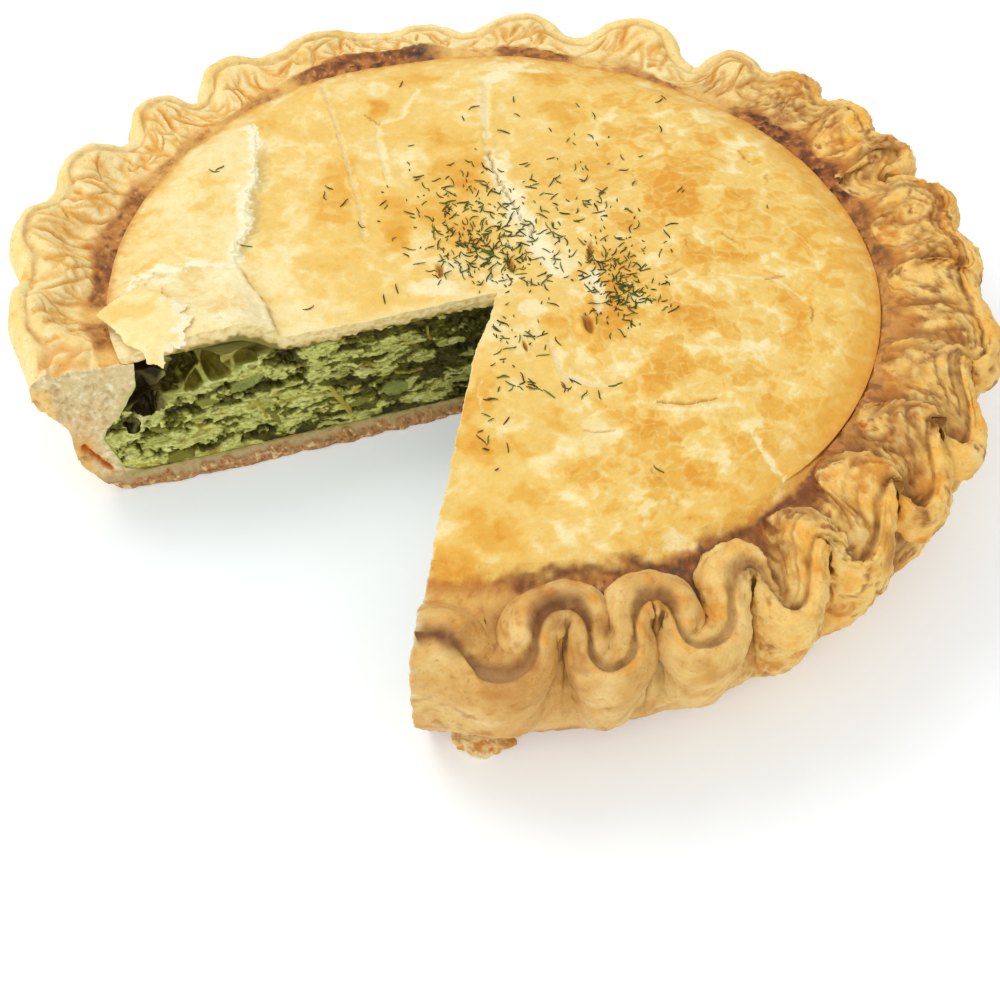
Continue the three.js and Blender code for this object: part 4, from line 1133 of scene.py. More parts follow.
# The torn leaves beside the left cut, as lines and outlines of along and back
RIGHT_TEAR = [
    (44, 92), (44, 78.4), (46.4, 72.1), (47.6, 68.2), (48.8, 63.5), (51.7, 59.9), (53.5, 53.7),
    (54.5, 47.4), (56.8, 42.5), (59.9, 38.4), (61.4, 32.5), (62.5, 29.5),
]
LOWER_TEAR = [
    (62.5, 29.5), (65.3, 29), (68.6, 29.2), (72.1, 31.2), (74.1, 33.2), (77.2, 31.6), (79.6, 32.4),
    (81.9, 33.6), (84.4, 31.9), (86.6, 32.5), (90.1, 26.4), (93.6, 19.6), (96, 17), (104, 14),
]
UPPER_TEAR = RIGHT_TEAR + LOWER_TEAR[1:]
UPPER_LEAF = UPPER_TEAR + [(130, 14), (130, 130), (44, 130)]
CURL = [
    (62.5, 30.5), (62.5, 26.8), (62.3, 22.6), (62.0, 18.1), (60.9, 15.3), (60.0, 12.2), (59.8, 8.2),
    (60.0, 4.4), (59.7, 0.4), (59.1, -5),
]
MIDDLE_LEAF = CURL + [(110, -5), (110, 60), (62.5, 60)]

DARK_SPOTS = [  # x, y, half sizes: darker golden patches of the lid
    (-3, -62, 9, 8), (15, -17.6, 7, 4), (45, -35, 9, 6), (-12.6, 38, 11, 25), (-33, 70, 5, 5.5),
    (50, 35, 9, 16), (-7, 14, 9, 9), (30, -16, 8, 10), (-4, -50, 6, 14), (0, -90, 9, 12), (64, 29, 7, 9),
    (75, -16, 6, 9), (37, -39, 6, 8), (-7.7, -101, 7, 8), (-19, 55, 5, 10), (35, -54, 8, 7),
    (16, -54, 7, 5), (29, -86, 7, 6), (48, -70, 7, 8), (23, -70, 8, 6), (8, -80, 6, 8), (64, -46, 5, 7),
    (8, -63, 8, 5), (40, 60, 10, 9), (20, 70, 8, 8), (60, 60, 8, 8), (34, 20, 5, 6), (-60, 20, 6, 16),
    (-44, 30, 6, 22), (-45, 5, 10, 9), (-26, 16, 5, 14), (-92, 30, 5, 12), (-78, 30, 8, 14),
    (-66, 62, 9, 8), (84, 14, 5, 14), (50, -12, 10, 8), (60, 8, 10, 6), (-26, 84, 12, 5), (14, 86, 10, 5),
    (30, -8, 5, 8),
]
FLOUR_PATCHES = [  # x, y, half sizes: floury pale patches of the lid, most of them among the dill
    (5, 27, 4, 10), (12.5, 10, 5, 7), (2, -2.5, 8, 4), (25, -4, 3.5, 8), (-15, -8, 9, 4), (1, 47, 2.5, 8),
    (17, 3.5, 6, 5), (-10, 0, 6, 4), (9, -14, 4, 5),
]


def lid_fields(x, y):
    """Height of the lid's top over its flat level, and masks for its colours."""
    along, back = to_cut(x, y)
    radius = np.hypot(x, y)
    azimuth = np.degrees(np.arctan2(y, x))

    def speckle(wide, seed, octaves=1):
        return noise(x / wide, y / wide, seed=seed, octaves=octaves)

    ragged = speckle(1.6, 82, 2)
    lumpy = speckle(3.4, 88, 2)
    warp_x = x + 2.0 * speckle(5, 74, 3) + 0.4 * ragged
    warp_y = y + 2.0 * speckle(5, 75, 3)
    height = 0.45 * noise(x / 24 + 3, y / 24 + 8, seed=71) + 0.28 * speckle(10, 72, 2)
    height += 0.13 * lumpy + 0.05 * ragged
    first, second, number = cells(warp_x / 9, warp_y / 9, seed=76)
    small_first, small_second, small_number = cells(warp_x / 3.8, warp_y / 3.8, seed=79)
    gate = smooth(speckle(9, 86, 2), -0.25, 0.5)
    right_half = smooth(x + 10 * speckle(20, 87), 2, 34)
    net = (1 - smooth(second - first, 0.02, 0.12)) * gate * (0.25 + 0.75 * right_half)
    small_net = (1 - smooth(small_second - small_first, 0.02, 0.16)) * right_half * (1 - 0.5 * gate)
    plates = 0.18 * (number - 0.5) * right_half * smooth(second - first, 0.0, 0.2)
    height += -0.14 * net - 0.09 * small_net + plates
    floury, brown = np.zeros(np.shape(x)), np.zeros(np.shape(x))
    for line, half, depth, flour, tan in CRACKS:
        distance, where = near_line(x + 0.5 * ragged, y + 0.5 * ragged, line, 4 * half + 2)
        width = half * (1 + 0.4 * lumpy) * np.sin(np.pi * np.clip(where, 0.08, 0.92)) ** 0.4
        raised = 0.22 * (half > 0.6) * bump(distance, 1.5 * half, 0.6 * half)
        height -= depth * bump(distance, 0, width) - raised
        powder = 1 - smooth(distance + 0.5 * half * ragged, 0.5 * width, 1.5 * width)
        floury = np.maximum(floury, flour * powder)
        brown = np.maximum(brown, tan * bump(distance, 0, 0.8 * np.minimum(width, 0.7)))
    vent = np.zeros(np.shape(x))
    for vx, vy, turn, half, tall, depth in VENTS:
        reach = lens(x + 0.3 * ragged, y, vx, vy, half, tall, turn)
        vent = np.maximum(vent, 1 - smooth(reach, 0.4, 1.15))
        height += 0.4 * bump(reach, 1.45, 0.3) - depth * (1 - smooth(reach, 0.35, 1.0))
    dark = np.zeros(np.shape(x))
    for sx, sy, wide, tall in DARK_SPOTS:
        dark = np.maximum(dark, 1 - smooth(lens(warp_x, warp_y, sx, sy, wide, tall, 0), 0.35, 1.2))
    # The torn leaves beside the left cut: a thin upper leaf over a middle one, whose edge curls up
    on_left = smooth(along, 62, 68)
    jag = (mix(0.75, 1.5, on_left) * noise(along / 2.7, back / 2.7, seed=84, octaves=3)
           + (0.45 + 0.35 * on_left) * noise(along / 1.1, back / 1.1, seed=83))
    jag_b = 0.9 * noise(along / 2.4, back / 1.6, seed=89, octaves=3)
    over = inside(along + jag, back + 0.8 * jag, UPPER_LEAF)
    edge = near_line(along + jag, back + 0.8 * jag, UPPER_TEAR, 36)[0]
    signed = np.where(over, edge, -edge)
    fading = (1 - smooth(signed, 6, 30)) * (1 - smooth(back, 76, 90))
    step = mix(0.28, 0.45, on_left) * smooth(signed, -0.25, 0.45) * fading
    curled = inside(along, back, MIDDLE_LEAF)
    curl_edge = near_line(along, back, CURL, 40)[0]
    curl_signed = np.where(curled, curl_edge, -curl_edge) + 0.25 * noise(along / 1.5, back / 1.5, seed=90)
    curl = (1.5 * smooth(curl_signed, -0.3, 0.35) * (1 - smooth(curl_signed, 1.5, 11))
            + 0.4 * bump(curl_signed, 1.0, 0.8)) * (1 - smooth(back, 24, 31))
    middle = curled & ~over
    # foot: the strip just outside the upper leaf's torn edge, sunk a little here and painted with the leaf's
    # shadow in lid_color
    foot = bump(signed, -1.1, 1.5) * (1 - smooth(back, 70, 82)) * smooth(back, 31, 37) * (signed < 0.1)
    height += step + curl - 0.12 * foot
    blister = 0.40 * np.abs(noise(along / 3.0, back / 3.0, seed=85, octaves=3)) + 0.12 * ragged
    height += np.where(middle, blister, 0) * smooth(curl_signed, 1, 5) * smooth(-signed, 0, 1.5)
    rim_drop = smooth(radius, 86, LID_RADIUS)
    height -= (2.2 * rim_drop ** 2.0) * (1 - 0.62 * front_apron(azimuth))
    return height, SimpleNamespace(
        net=net, small_net=small_net, floury=floury, brown=brown, vent=vent, dark=dark,
        middle=middle.astype(float), foot=foot, signed=signed, number=number, small_number=small_number,
        right_half=right_half, curl=curl_signed, fading=fading, jag=jag_b, warp_x=warp_x, warp_y=warp_y,
        on_left=on_left)


def lid_top(x, y):
    """Height of the lid's top."""
    return LID_TOP + lid_fields(x, y)[0] + lift_at(x, y)


def lid_color(x, y):
    """Colours of the lid's top at each place."""
    f = lid_fields(x, y)[1]
    radius = np.hypot(x, y)
    along, back = to_cut(x, y)
    azimuth = np.degrees(np.arctan2(y, x))
    large = noise(x / 22, y / 22, seed=91, octaves=3)
    medium = noise(f.warp_x / 7, f.warp_y / 7, seed=92, octaves=4)
    small = noise(f.warp_x / 3.2, f.warp_y / 3.2, seed=94, octaves=4)
    fine = noise(x / 1.4, y / 1.4, seed=93, octaves=3)
    right = f.right_half
    left = 1 - smooth(x, -52, -30)
    golden = (0.46 - 0.22 * left + 0.10 * right + 0.16 * large + (0.17 + 0.09 * right) * medium
              + (0.15 + 0.09 * right) * small + 0.10 * fine
              + 0.56 * f.dark * (0.8 + 0.5 * medium) * (1 - 0.5 * left)
              - 0.24 * bump(np.hypot(x - 3, y + 64), 0, 20) + 0.13 * bump(along, 36, 20) * (f.signed < 0)
              - 0.06 * (f.signed > 0) * left
              + right * (0.46 * f.number + 0.34 * f.small_number - 0.40))
    light = smooth(-small - 0.5 * medium - 0.3 * large + 0.2 * fine, 0.45, 0.95)
    dusting = np.zeros(np.shape(x))
    for px, py, wide, tall in FLOUR_PATCHES:
        dusting = np.maximum(dusting, 1 - smooth(lens(f.warp_x, f.warp_y, px, py, wide, tall, 0), 0.2, 1.3))
    front = side_weight(azimuth, HANGING_SIDE, 0.6, 0.95)
    right_edge = side_weight(azimuth, 0, 0.0, 0.8)
    rim = smooth(radius + 1.5 * medium, 88, 98)
    color = paint(
        [0.96, 0.895, 0.66],
        ([0.93, 0.785, 0.42], mix(smooth(golden, 0.05, 0.6), smooth(golden, 0.30, 0.42),
                                  0.12 + 0.38 * right)),
        ([0.90, 0.685, 0.26], 0.85 * mix(smooth(golden, 0.58, 0.95), smooth(golden, 0.68, 0.78),
                                         0.1 + 0.45 * right)),
        ([0.87, 0.60, 0.16], smooth(golden + 0.1 * fine, 0.98, 1.30) * 0.75),
        ([0.955, 0.88, 0.63], 0.5 * f.net + 0.42 * f.small_net),
        ([0.97, 0.935, 0.76], light * (0.3 + 0.3 * right) * (1 - 0.7 * f.dark)),
        ([0.97, 0.935, 0.785], smooth(dusting + 0.35 * small + 0.15 * fine, 0.30, 0.75) * 0.72),
        ([0.89, 0.66, 0.24], rim * (0.20 + 0.45 * right_edge + 0.3 * small) * (1 - 0.6 * front)),
        ([0.80, 0.52, 0.17], smooth(radius + 0.8 * fine, 97.4, 99.4) * 0.6 * (1 - front_apron(azimuth))),
        ([0.72, 0.44, 0.15], smooth(radius + 1.2 * fine, 103.0, 105.2) * 0.8),
        ([0.975, 0.945, 0.80], f.floury * 0.9),
        ([0.64, 0.42, 0.18], f.brown * 0.85),
        ([0.62, 0.38, 0.12], f.vent * 0.85),
    )
    # The torn leaves
    tear = f.fading > 0.02
    fringe = mix(4.8, 3.8, f.on_left)
    white = (1 - smooth(f.signed + 1.4 * f.jag, 0.3 * fringe, fringe)) * smooth(f.signed, -0.3, 0.0) * tear
    torn = bump(f.signed + 0.5 * f.jag, 0.8, 0.35) * (back > 30) * (along < 66)
    # painted shadow just outside the upper leaf's edge, where the leaf overhangs the lower layer
    under_leaf_shadow = bump(f.signed, -0.35, 0.35) * tear * (along > 66)
    orange = smooth(f.jag + 0.3 * fine, 0.3, 0.9) * bump(f.signed, 0.2, 0.8) * smooth(along, 66, 74)
    color = paint(
        color,
        ([0.98, 0.955, 0.83], white),
        ([0.80, 0.75, 0.54], torn * 0.6),
        ([0.83, 0.69, 0.40], under_leaf_shadow * 0.55),
        ([0.86, 0.62, 0.24], orange * 0.8),
    )
    middle = paint(
        [0.96, 0.90, 0.68],
        ([0.925, 0.815, 0.54], smooth(medium + 0.7 * small, -0.1, 0.9)),
        ([0.975, 0.94, 0.80], smooth(-medium + 0.6 * small, 0.0, 0.7)),
        ([0.88, 0.72, 0.42], smooth(small + 0.4 * fine, 0.55, 1.0) * 0.5),
        ([0.975, 0.94, 0.77], (1 - smooth(f.curl, 3, 9)) * 0.7),
    )
    color = mix(color, middle, f.middle[..., None])
    beside = (1 - smooth(back + 0.8 * medium + 0.4 * fine, 0.4, 3.8)) * (back > -2)
    beside = beside * (along > -2) * (along < 100)
    color = paint(
        color,
        # painted shadow cast by the curled edge of the middle leaf onto the lid beside it
        ([0.80, 0.62, 0.30], bump(f.curl, -0.35, 0.4) * (1 - smooth(back, 24, 31)) * 0.7),
        # painted shadow of the upper leaf on the strip at the foot of its torn edge
        ([0.74, 0.65, 0.40], f.foot * 0.6),
        ([0.955, 0.89, 0.66], beside * 0.6),
    )
    return color


def lid_grid():
    """Turns and radii of the lid's top, closer together where the leaves are torn."""
    torn = np.radians(np.arange(126, 206, 0.2))
    rest = np.radians(np.arange(206, 486, 0.44))
    near = np.arange(97.2, 46, -0.36)
    far = np.arange(46, 0.6, -0.62)
    return np.concatenate([torn, rest]), np.concatenate([[99.35, 99.1, 98.6, 98.0], near[1:], far])


def lid_relief(along, z, side):
    """How far the cut lid is torn back from the plane of the cut."""
    far = 23.0 * side
    hem = noise(along / 1.4 + far, z, seed=98, octaves=2)
    ragged_low = (1 - smooth(z, 36.3, 38.2)) * (0.35 + 0.5 * hem)
    return (0.20 * noise(along / 1.1 + far, z / 0.9, seed=95, octaves=3)
            + 0.18 * noise(along / 3.1 + far, z / 3.0, seed=96) + ragged_low - right_bulge(along, z, side))


CRUMB_COLUMNS, CRUMB_ROWS = 150, 70
CRUMB_MIDDLE = np.array([-1.2, -119.2, 1.3])
CRUMB_TURN = math.radians(-12)


def build_crumb():
    """A torn crumb of crust at the front corner of the cut, half under the rim."""
    rise = np.linspace(-np.pi / 2, np.pi / 2, CRUMB_ROWS)
    unit = unit_ball(CRUMB_COLUMNS, rise)
    lumpy = (1 + 0.22 * noise(*(unit * 1.6).transpose(2, 0, 1), seed=111, octaves=2)
             + 0.07 * noise(*(unit * 5).transpose(2, 0, 1), seed=112, octaves=2))
    x, y, z = (unit * lumpy[..., None] * np.array([7.2, 5.0, 2.0])).transpose(2, 0, 1)
    ragged = 0.5 * noise(x / 1.3, y / 1.3, z / 0.8, seed=115, octaves=2)
    lean = CRUMB_TURN
    x, y = x * math.cos(lean) - y * math.sin(lean), x * math.sin(lean) + y * math.cos(lean)
    z = z + 0.5 * ragged * np.cos(rise)[:, None]
    rings = np.stack([x * (1 + 0.08 * ragged), y * (1 + 0.10 * ragged), z], -1) + CRUMB_MIDDLE
    rings[..., 2] = np.maximum(rings[..., 2], 0.04 * (1 + unit[..., 2]))
    mesh = closed_rings("crumb", rings, middles(rings))
    points = vertices_of(mesh)
    fine = noise(*(points / 1.2).T, seed=113, octaves=2)
    blotch = noise(*(points / 3.0).T, seed=114, octaves=2)
    color = paint(
        [0.93, 0.83, 0.59],
        ([0.86, 0.67, 0.38], smooth(fine + blotch, 0, 1)),
        ([0.95, 0.90, 0.72], smooth(-fine + 0.6 * blotch, 0.3, 1.0) * 0.7),
        ([0.74, 0.50, 0.20], smooth(points[:, 0], 1, 6) * 0.6),
    )
    set_colors(mesh, color)
    shade(mesh, 70)
    return mesh


def build_lid():
    """The lid, with its slice cut away."""
    turn, radii = lid_grid()
    rings = []

    def ring(radius, height):
        x, y = radius * np.cos(turn), radius * np.sin(turn)
        rings.append(np.stack([x, y, height(x, y)], -1))

    for radius in [*np.arange(12, 97.9, 1.9), LID_RADIUS - 1.4]:
        ring(radius, lambda x, y: LID_UNDERSIDE + lift_at(x, y))
    ring(LID_RADIUS - 0.3, lambda x, y: LID_UNDERSIDE + 0.7 + lift_at(x, y))
    ring(LID_RADIUS + 0.15, lambda x, y: LID_UNDERSIDE + 1.6 + lift_at(x, y))
    for radius in radii:
        ring(radius, lid_top)
    body = closed_rings("lid", np.array(rings))
    body = cut_away(body, slice_wedge(lid_relief, top=54.0, reach=104.0))
    points = vertices_of(body)
    x, y, z = points.T
    color = lid_color(x, y)
    is_cut, side, along = on_cut(points, lid_relief)
    fine = noise(along / 1.1, z / 0.8, side * 7.0, seed=97, octaves=2)
    depth = lid_top(x, y) - z
    ragged = noise(along / 2.0, z / 1.4, side * 7.0, seed=99, octaves=2)
    underside = smooth(depth, 2.5, 3.5) * ~is_cut
    cut = paint(
        [0.965, 0.90, 0.67],
        ([0.88, 0.77, 0.50], smooth(fine, -0.2, 0.9)),
        ([0.84, 0.74, 0.46], smooth(depth + 0.5 * fine, 2.2, 3.6) * 0.8),
        ([0.45, 0.42, 0.14], smooth(depth + 0.3 * fine + 0.8 * ragged, 3.5, 4.2) * 0.8),
        ([0.95, 0.88, 0.64], (1 - smooth(depth, 0.1, 0.9)) * 0.6),
    )
    color = paint(color, ([0.36, 0.33, 0.10], underside))
    set_colors(body, np.where(is_cut[:, None], cut, color))
    shade(body, 50)
    return body


# ---- The loose corner leaf ----

CORNER_LEAF = [
    (101.3, 17.2), (99.8, 12.1), (97.2, 5.1), (96.8, 2.0), (94.3, -1.0), (93.6, -3.5), (92.3, -6.5),
    (89.7, -7.4), (88.6, -6.8), (88.6, -5.1), (86.3, -3.7), (83.1, -2.5), (82.3, 1.0), (80.3, 3.4),
    (78.9, 6.4), (81.5, 9.2), (79.0, 12.3), (80.5, 13.5), (82.8, 17.0), (84.3, 20.3), (83.3, 24.0),
    (84.4, 26.5), (86.9, 28.0), (90.1, 28.0), (93.5, 25.5), (96.5, 21.5),
]


def build_corner_leaf():
    """A thin ragged sheet that rests on the arch, with its tip bent down over the cut."""
    outline = []
    corners = np.array(CORNER_LEAF, float)
    for start, end in zip(corners, np.roll(corners, -1, axis=0)):
        count = max(int(np.linalg.norm(end - start) / 0.32), 1)
        outline.extend(mix(start, end, step / count) for step in range(count))
    outline = np.array(outline)
    step = np.roll(outline, -1, axis=0) - np.roll(outline, 1, axis=0)
    normal = np.stack([step[:, 1], -step[:, 0]], -1) / np.linalg.norm(step, axis=1)[:, None]
    torn = 1 - smooth(outline[:, 0], 92, 97)
    jag = (0.25 + 0.45 * torn) * noise(outline[:, 0] / 1.1, outline[:, 1] / 1.1, seed=101, octaves=2)
    outline = outline + normal * jag[:, None]
    closed = np.vstack([outline, outline[:1]])
    a, b = np.meshgrid(np.arange(77, 103, 0.5), np.arange(-10, 30, 0.5))
    a, b = a.ravel(), b.ravel()
    edge = to_line(a, b, closed)[0]
    keep = inside(a, b, outline) & (edge > 0.35)
    flat = np.concatenate([outline, np.stack([a[keep], b[keep]], -1)])
    count = len(outline)
    edges = [(i, (i + 1) % count) for i in range(count)]
    result = delaunay_2d_cdt([Vector(p) for p in flat.tolist()], edges, [], 1, 1e-5)
    plan = np.array([tuple(v) for v in result[0]])
    faces = np.array([tuple(f) for f in result[2]])
    along, back = plan.T
    edge = to_line(along, back, closed)[0]
    x, y = from_cut(along, back)
    front = np.maximum(1.5 - back, 0)
    level = LID_TOP + lift_at(*from_cut(along, np.maximum(back, 0))) + 0.95
    ripples = 0.45 * noise(along / 6, back / 6, seed=102, octaves=2)
    level += ripples + 0.12 * noise(along / 1.8, back / 1.8, seed=104)
    level -= 0.022 * front ** 2.1 + 0.9 * smooth(back, 20, 28)
    thick = 0.35 + 0.6 * smooth(edge, 0, 1.0)
    top = np.stack([x, y, level + thick / 2], -1)
    low = np.stack([x, y, level - thick / 2], -1)
    size = len(plan)
    border = set()
    for f in faces.tolist():
        for u, v in zip(f, f[1:] + f[:1]):
            if (v, u) in border:
                border.remove((v, u))
            else:
                border.add((u, v))
    sides = np.array([(v, u, u + size, v + size) for u, v in sorted(border)])
    triangles = np.concatenate([faces, faces[:, ::-1] + size])
    vertices = np.concatenate([top, low])
    mesh = make_mesh("leaf", vertices, *outward(vertices, sides, triangles))
    points = vertices_of(mesh)
    along, back = to_cut(points[:, 0], points[:, 1])
    blotch = noise(along / 7, back / 7, seed=103, octaves=3)
    fine = noise(along / 1.6, back / 1.6, seed=105, octaves=2)
    edge = to_line(along, back, closed)[0]
    torn = (1 - smooth(along - 0.25 * back, 86, 92)) * (1 - smooth(back, 15, 22))
    color = paint(
        [0.97, 0.90, 0.64],
        ([0.955, 0.83, 0.48], smooth(blotch + 0.3 * fine, -0.45, 0.5)),
        ([0.98, 0.95, 0.84], (1 - smooth(edge + 1.4 * fine, 0.4, 3.2)) * (0.15 + 0.8 * torn)),
    )
    set_colors(mesh, color)
    shade(mesh, 60)
    return mesh


# ---- Dill ----

DILL = [  # x, y, spread across, spread along, how many needles
    (-2, 9, 6, 5.5, 75), (-12, 24, 7, 8, 45), (4, 16, 5, 6, 34), (-3, 33, 10, 8, 24),
    (33, -10, 4.5, 6.5, 80), (32, 3, 4.5, 7, 50), (18, 28, 9, 9, 32), (18, 12, 6, 6, 26), (8, -2, 8, 3, 26),
    (1, -16, 2.5, 8, 18), (5, -30, 6, 4, 14), (8, -44, 7, 3, 18), (22, -42, 5, 2, 4), (-3, -58, 5, 5, 16),
    (6, 55, 14, 10, 14), (30, 45, 12, 14, 11), (-16, 4, 7, 5, 14), (4, 8, 26, 24, 26),
]
DILL_DUST = [
    (-2, 9, 8, 8, 70), (-10, 24, 9, 9, 40), (32, -4, 7, 10, 60), (14, 18, 16, 16, 60), (4, -20, 5, 14, 30),
]
STRAYS = [
    (-77, 39), (-75.5, 40), (-46, 29), (-28, 81), (46, 76), (27, 68), (39, -70), (-28, -12), (-47, -16),
    (-25, -8),
]
NEEDLE_SIDES, NEEDLE_BENDS = 5, 5
DILL_COLORS = [  # each with the draw that it goes up to
    (0.62, [0.31, 0.36, 0.08]), (0.8, [0.22, 0.25, 0.07]), (1, [0.40, 0.27, 0.15]),
]


def dill_places(draw):
    """Each needle's middle and length."""
    places = [(x, y, 3.5) for x, y in STRAYS]
    for patches, lengths in (DILL, (1.5, 4.3)), (DILL_DUST, (0.5, 1.4)):
        for x, y, across, along, count in patches:
            for _ in range(count):
                places.append((x + across * draw.normal(), y + along * draw.normal(), draw.uniform(*lengths)))
    return places


def build_dill():
    """Bent needles, thinner towards their ends, lying on the lid."""
    draw = np.random.default_rng(7)
    sides, bends = NEEDLE_SIDES, NEEDLE_BENDS
    vertices, quads, triangles, colors = [], [], [], []
    for x, y, length in dill_places(draw):
        turn = draw.uniform(0, np.pi)
        bend, radius = draw.normal() * 0.09 * length, draw.uniform(0.15, 0.22)
        tone, kind, tilt = draw.uniform(0.75, 1.3), draw.uniform(0, 1), draw.uniform(0, 0.5)
        kink = 0.03 * length * draw.normal()
        from_tip = np.array([x, y]) - SLICE_TIP
        if max(from_tip @ INTO_PIE, from_tip @ INTO_RIGHT) < 1.5 or math.hypot(x, y) > 95:
            continue
        run = np.linspace(-0.5, 0.5, bends)
        u, v = run * 0.88 * length, bend * (1 - 4 * run ** 2) + kink * np.sin(6 * run)
        px, py = x + u * math.cos(turn) - v * math.sin(turn), y + u * math.sin(turn) + v * math.cos(turn)
        base = lid_top(px, py) + 0.6 * radius + (run + 0.5) * tilt
        thickness = radius * (1 - 1.1 * np.abs(run) ** 1.5)
        start = len(vertices)
        across = np.array([-math.sin(turn), math.cos(turn)])
        for k, s in np.ndindex(bends, sides):
            angle = 2 * math.pi * s / sides
            w = thickness[k] * math.cos(angle)
            vertices.append((px[k] + w * across[0], py[k] + w * across[1],
                             base[k] + thickness[k] * math.sin(angle)))
        for k, s in np.ndindex(bends - 1, sides):
            n = (s + 1) % sides
            low, high = start + k * sides, start + (k + 1) * sides
            quads.append([low + s, low + n, high + n, high + s])
        end = start + (bends - 1) * sides
        for s in range(1, sides - 1):
            triangles.append([start, start + s + 1, start + s])
            triangles.append([end, end + s, end + s + 1])
        color = next(np.array(color) for limit, color in DILL_COLORS if kind < limit)
        colors.extend([color * tone] * (bends * sides))
    mesh = make_mesh("dill", np.array(vertices), quads, triangles)
    set_colors(mesh, np.array(colors))
    mesh.shade_smooth()
    return mesh


# ---- Materials ----

def crust_material(name, roughness, grain, bump_height, speckle, coat=0.0, subsurface=0.0, shine=0.3):
    """Painted tint with finer grain, pores and brown specks, and roughness and bump from the same noise."""
    material = bpy.data.materials.new(name)
    material.use_nodes = True
    tree = material.node_tree
    tree.nodes.clear()
    nodes, links = tree.nodes, tree.links
    output = nodes.new("ShaderNodeOutputMaterial")
    shader = nodes.new("ShaderNodeBsdfPrincipled")
    links.new(shader.outputs[0], output.inputs[0])
    tint = nodes.new("ShaderNodeAttribute")
    tint.attribute_name = "tint"
    place = nodes.new("ShaderNodeTexCoord")

    def noise_node(scale, detail, rough=0.6):
        node = nodes.new("ShaderNodeTexNoise")
        node.inputs["Scale"].default_value = scale
        node.inputs["Detail"].default_value = detail
        node.inputs["Roughness"].default_value = rough
        links.new(place.outputs["Object"], node.inputs["Vector"])
        return node

    def spread(source, low, high, to_low, to_high):
        node = nodes.new("ShaderNodeMapRange")
        node.inputs["From Min"].default_value = low
        node.inputs["From Max"].default_value = high
        node.inputs["To Min"].default_value = to_low
        node.inputs["To Max"].default_value = to_high
        links.new(source, node.inputs["Value"])
        return node.outputs["Result"]

    mottle = noise_node(420, 5)
    grains = noise_node(1500, 3)
    specks = noise_node(760, 2)

    def tinted(before, factor, color, mode="MIX"):
        node = nodes.new("ShaderNodeMix")
        node.data_type = "RGBA"
        node.blend_type = mode
        links.new(before, node.inputs[6])
        node.inputs[7].default_value = (*color, 1)
        links.new(factor, node.inputs[0])
        return node.outputs[2]

    color = tinted(tint.outputs["Color"], spread(mottle.outputs["Fac"], 0.35, 0.75, 0, grain),
                   (0.88, 0.68, 0.38), "MULTIPLY")
    color = tinted(color, spread(grains.outputs["Fac"], 0.42, 0.7, 0, grain * 0.7), (0.82, 0.62, 0.36),
                   "MULTIPLY")
    color = tinted(color, spread(specks.outputs["Fac"], 0.62, 0.72, 0, speckle), (0.27, 0.11, 0.03))
    links.new(color, shader.inputs["Base Color"])
    links.new(spread(mottle.outputs["Fac"], 0.3, 0.7, roughness - 0.1, roughness + 0.14),
              shader.inputs["Roughness"])
    shader.inputs["Specular IOR Level"].default_value = shine
    shader.inputs["Coat Weight"].default_value = coat
    shader.inputs["Coat Roughness"].default_value = 0.35
    shader.inputs["Subsurface Weight"].default_value = subsurface
    shader.inputs["Subsurface Radius"].default_value = (0.9, 0.45, 0.2)
    shader.inputs["Subsurface Scale"].default_value = 0.0022
    relief = nodes.new("ShaderNodeBump")
    relief.inputs["Strength"].default_value = 0.55
    relief.inputs["Distance"].default_value = bump_height
    links.new(grains.outputs["Fac"], relief.inputs["Height"])
    coarse = nodes.new("ShaderNodeBump")
    coarse.inputs["Strength"].default_value = 0.5
    coarse.inputs["Distance"].default_value = bump_height * 2
    links.new(mottle.outputs["Fac"], coarse.inputs["Height"])
    links.new(relief.outputs[0], coarse.inputs["Normal"])
    links.new(coarse.outputs[0], shader.inputs["Normal"])
    return material


def place_piece(name, mesh, material, node):
    """Put a mesh into the scene as a piece that takes the place of a node of the solids."""
    piece = make_object(name, mesh)
    mesh.materials.clear()
    mesh.materials.append(material)
    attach(piece, "root")
    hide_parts(node)


# ---- Floor, light and camera ----

FLOOR_HALF_WIDTH = 1600
FLOOR_BELOW = 0.2
LIGHTS = [  # name, place and target in metres, size, power and colour
    ("key", (-0.75, 0.45, 1.25), (0, 0, 0.02), 0.8, 6.9, (1.0, 0.99, 0.97)),
    ("front_fill", (-0.3, -1.3, 0.8), (0, -0.05, 0.02), 1.0, 4.4, (1.0, 1.0, 1.0)),
]
CAMERA_DISTANCE, CAMERA_ELEVATION, CAMERA_AIM = 500.0, math.radians(41.8), 25.0
CAMERA_YAW, CAMERA_PITCH, CAMERA_ROLL = math.radians(0.4), math.radians(47.4), math.radians(1.3)
LENS, SENSOR = 67.71, 36


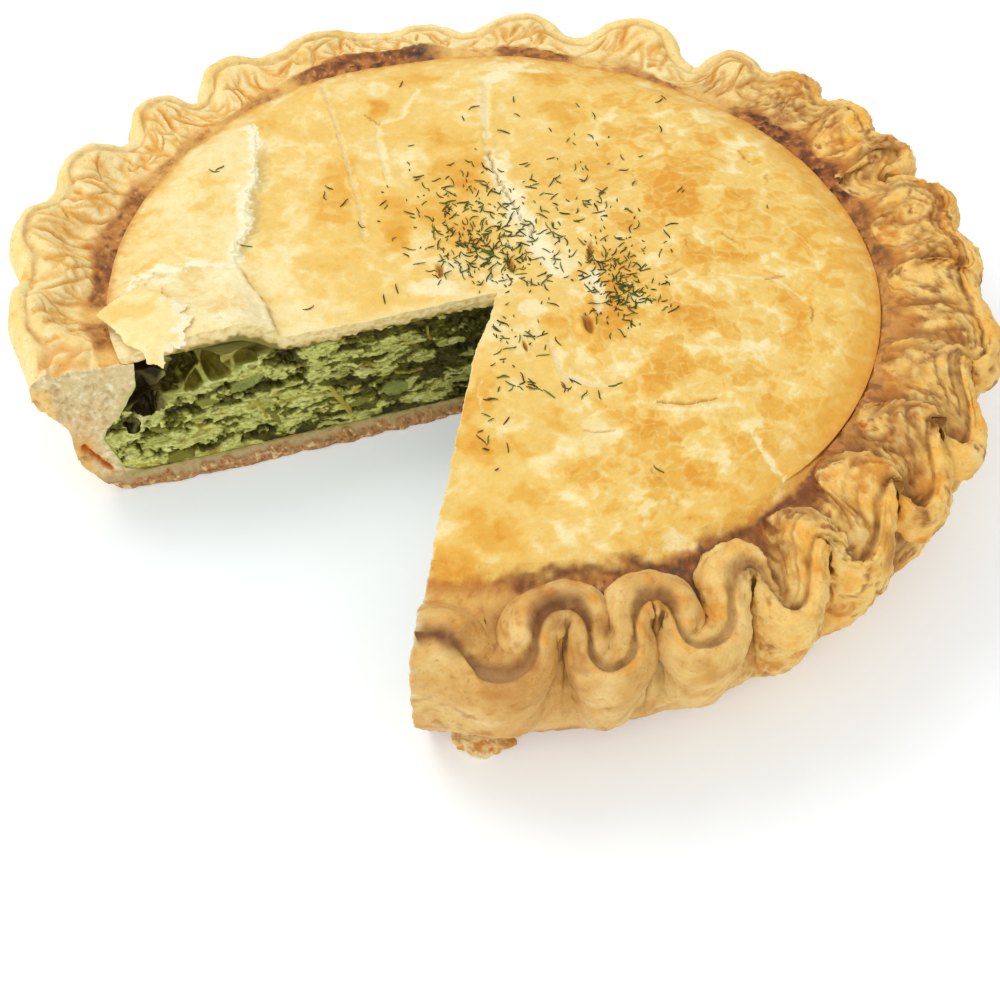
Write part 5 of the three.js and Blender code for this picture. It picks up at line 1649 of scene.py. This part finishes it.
def build_stage():
    """The plain pale floor, an even sky and two soft lamps."""
    corners = FLOOR_HALF_WIDTH * np.array([[-1, -1, 0], [1, -1, 0], [1, 1, 0], [-1, 1, 0]], float)
    mesh = make_mesh("floor", corners, [[0, 1, 2, 3]])
    floor = make_object("floor", mesh)
    floor.location.z = -FLOOR_BELOW * MM
    material = bpy.data.materials.new("floor_paper")
    material.use_nodes = True
    shader = material.node_tree.nodes["Principled BSDF"]
    shader.inputs["Base Color"].default_value = (0.77, 0.79, 0.80, 1)
    shader.inputs["Emission Color"].default_value = (0.86, 0.95, 1.0, 1)
    shader.inputs["Emission Strength"].default_value = 0.27
    shader.inputs["Roughness"].default_value = 0.9
    shader.inputs["Specular IOR Level"].default_value = 0.0
    mesh.materials.append(material)
    world = bpy.data.worlds.new("studio")
    world.use_nodes = True
    world.node_tree.nodes["Background"].inputs["Color"].default_value = (1.0, 1.0, 1.0, 1)
    world.node_tree.nodes["Background"].inputs["Strength"].default_value = 0.80
    bpy.context.scene.world = world

    for name, location, target, size, power, color in LIGHTS:
        light = bpy.data.lights.new(name, "AREA")
        light.shape = "DISK"
        light.size = size
        light.energy = power
        light.color = color
        lamp = make_object(name, light)
        lamp.location = location
        lamp.rotation_euler = (Vector(target) - Vector(location)).to_track_quat("-Z", "Y").to_euler()


def build_camera():
    """The camera that was fitted to the photograph."""
    yaw, pitch, roll = CAMERA_YAW, CAMERA_PITCH, CAMERA_ROLL
    height = CAMERA_AIM + CAMERA_DISTANCE * math.sin(CAMERA_ELEVATION)
    place = Vector((0, -CAMERA_DISTANCE * math.cos(CAMERA_ELEVATION), height)) * MM
    forward = Vector((math.sin(yaw) * math.cos(pitch), math.cos(yaw) * math.cos(pitch), -math.sin(pitch)))
    level = Vector((math.cos(yaw), -math.sin(yaw), 0))
    up = level.cross(forward)
    right = math.cos(roll) * level + math.sin(roll) * up
    above = -math.sin(roll) * level + math.cos(roll) * up
    data = bpy.data.cameras.new("camera")
    data.sensor_width = SENSOR
    data.lens = LENS
    data.clip_start = 0.01
    camera = make_object("camera", data)
    rotation = Matrix((right, above, -forward)).transposed()
    camera.matrix_world = Matrix.Translation(place) @ rotation.to_4x4()
    bpy.context.scene.camera = camera


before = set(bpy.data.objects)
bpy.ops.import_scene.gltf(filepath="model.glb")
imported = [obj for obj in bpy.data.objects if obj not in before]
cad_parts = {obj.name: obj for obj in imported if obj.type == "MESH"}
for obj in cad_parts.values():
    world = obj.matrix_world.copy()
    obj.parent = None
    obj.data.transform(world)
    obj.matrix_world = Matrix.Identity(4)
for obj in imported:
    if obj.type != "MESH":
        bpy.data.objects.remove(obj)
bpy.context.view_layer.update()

crust = crust_material("baked_crust", 0.58, 0.40, 0.00036, 0.25, subsurface=0.06)
glazed = crust_material("glazed_crust", 0.46, 0.28, 0.00014, 0.08, coat=0.03, subsurface=0.06, shine=0.25)
stuffing = crust_material("spinach_and_cheese", 0.50, 0.16, 0.00030, 0.0, coat=0.02, subsurface=0.04,
                          shine=0.22)
herb = crust_material("dried_dill", 0.7, 0.2, 0.00005, 0.0)

place_piece("pie_shell", build_shell(), crust, "pastry_shell")
place_piece("pie_filling", build_filling(), stuffing, "spinach_filling")
place_piece("pie_lid", build_lid(), glazed, "top_crust")
place_piece("torn_corner_leaf", build_corner_leaf(), glazed, "top_crust")
place_piece("dill", build_dill(), herb, "top_crust")
place_piece("loose_crumb", build_crumb(), crust, "pastry_shell")

build_stage()
build_camera()
bpy.context.scene.view_settings.view_transform = "Standard"
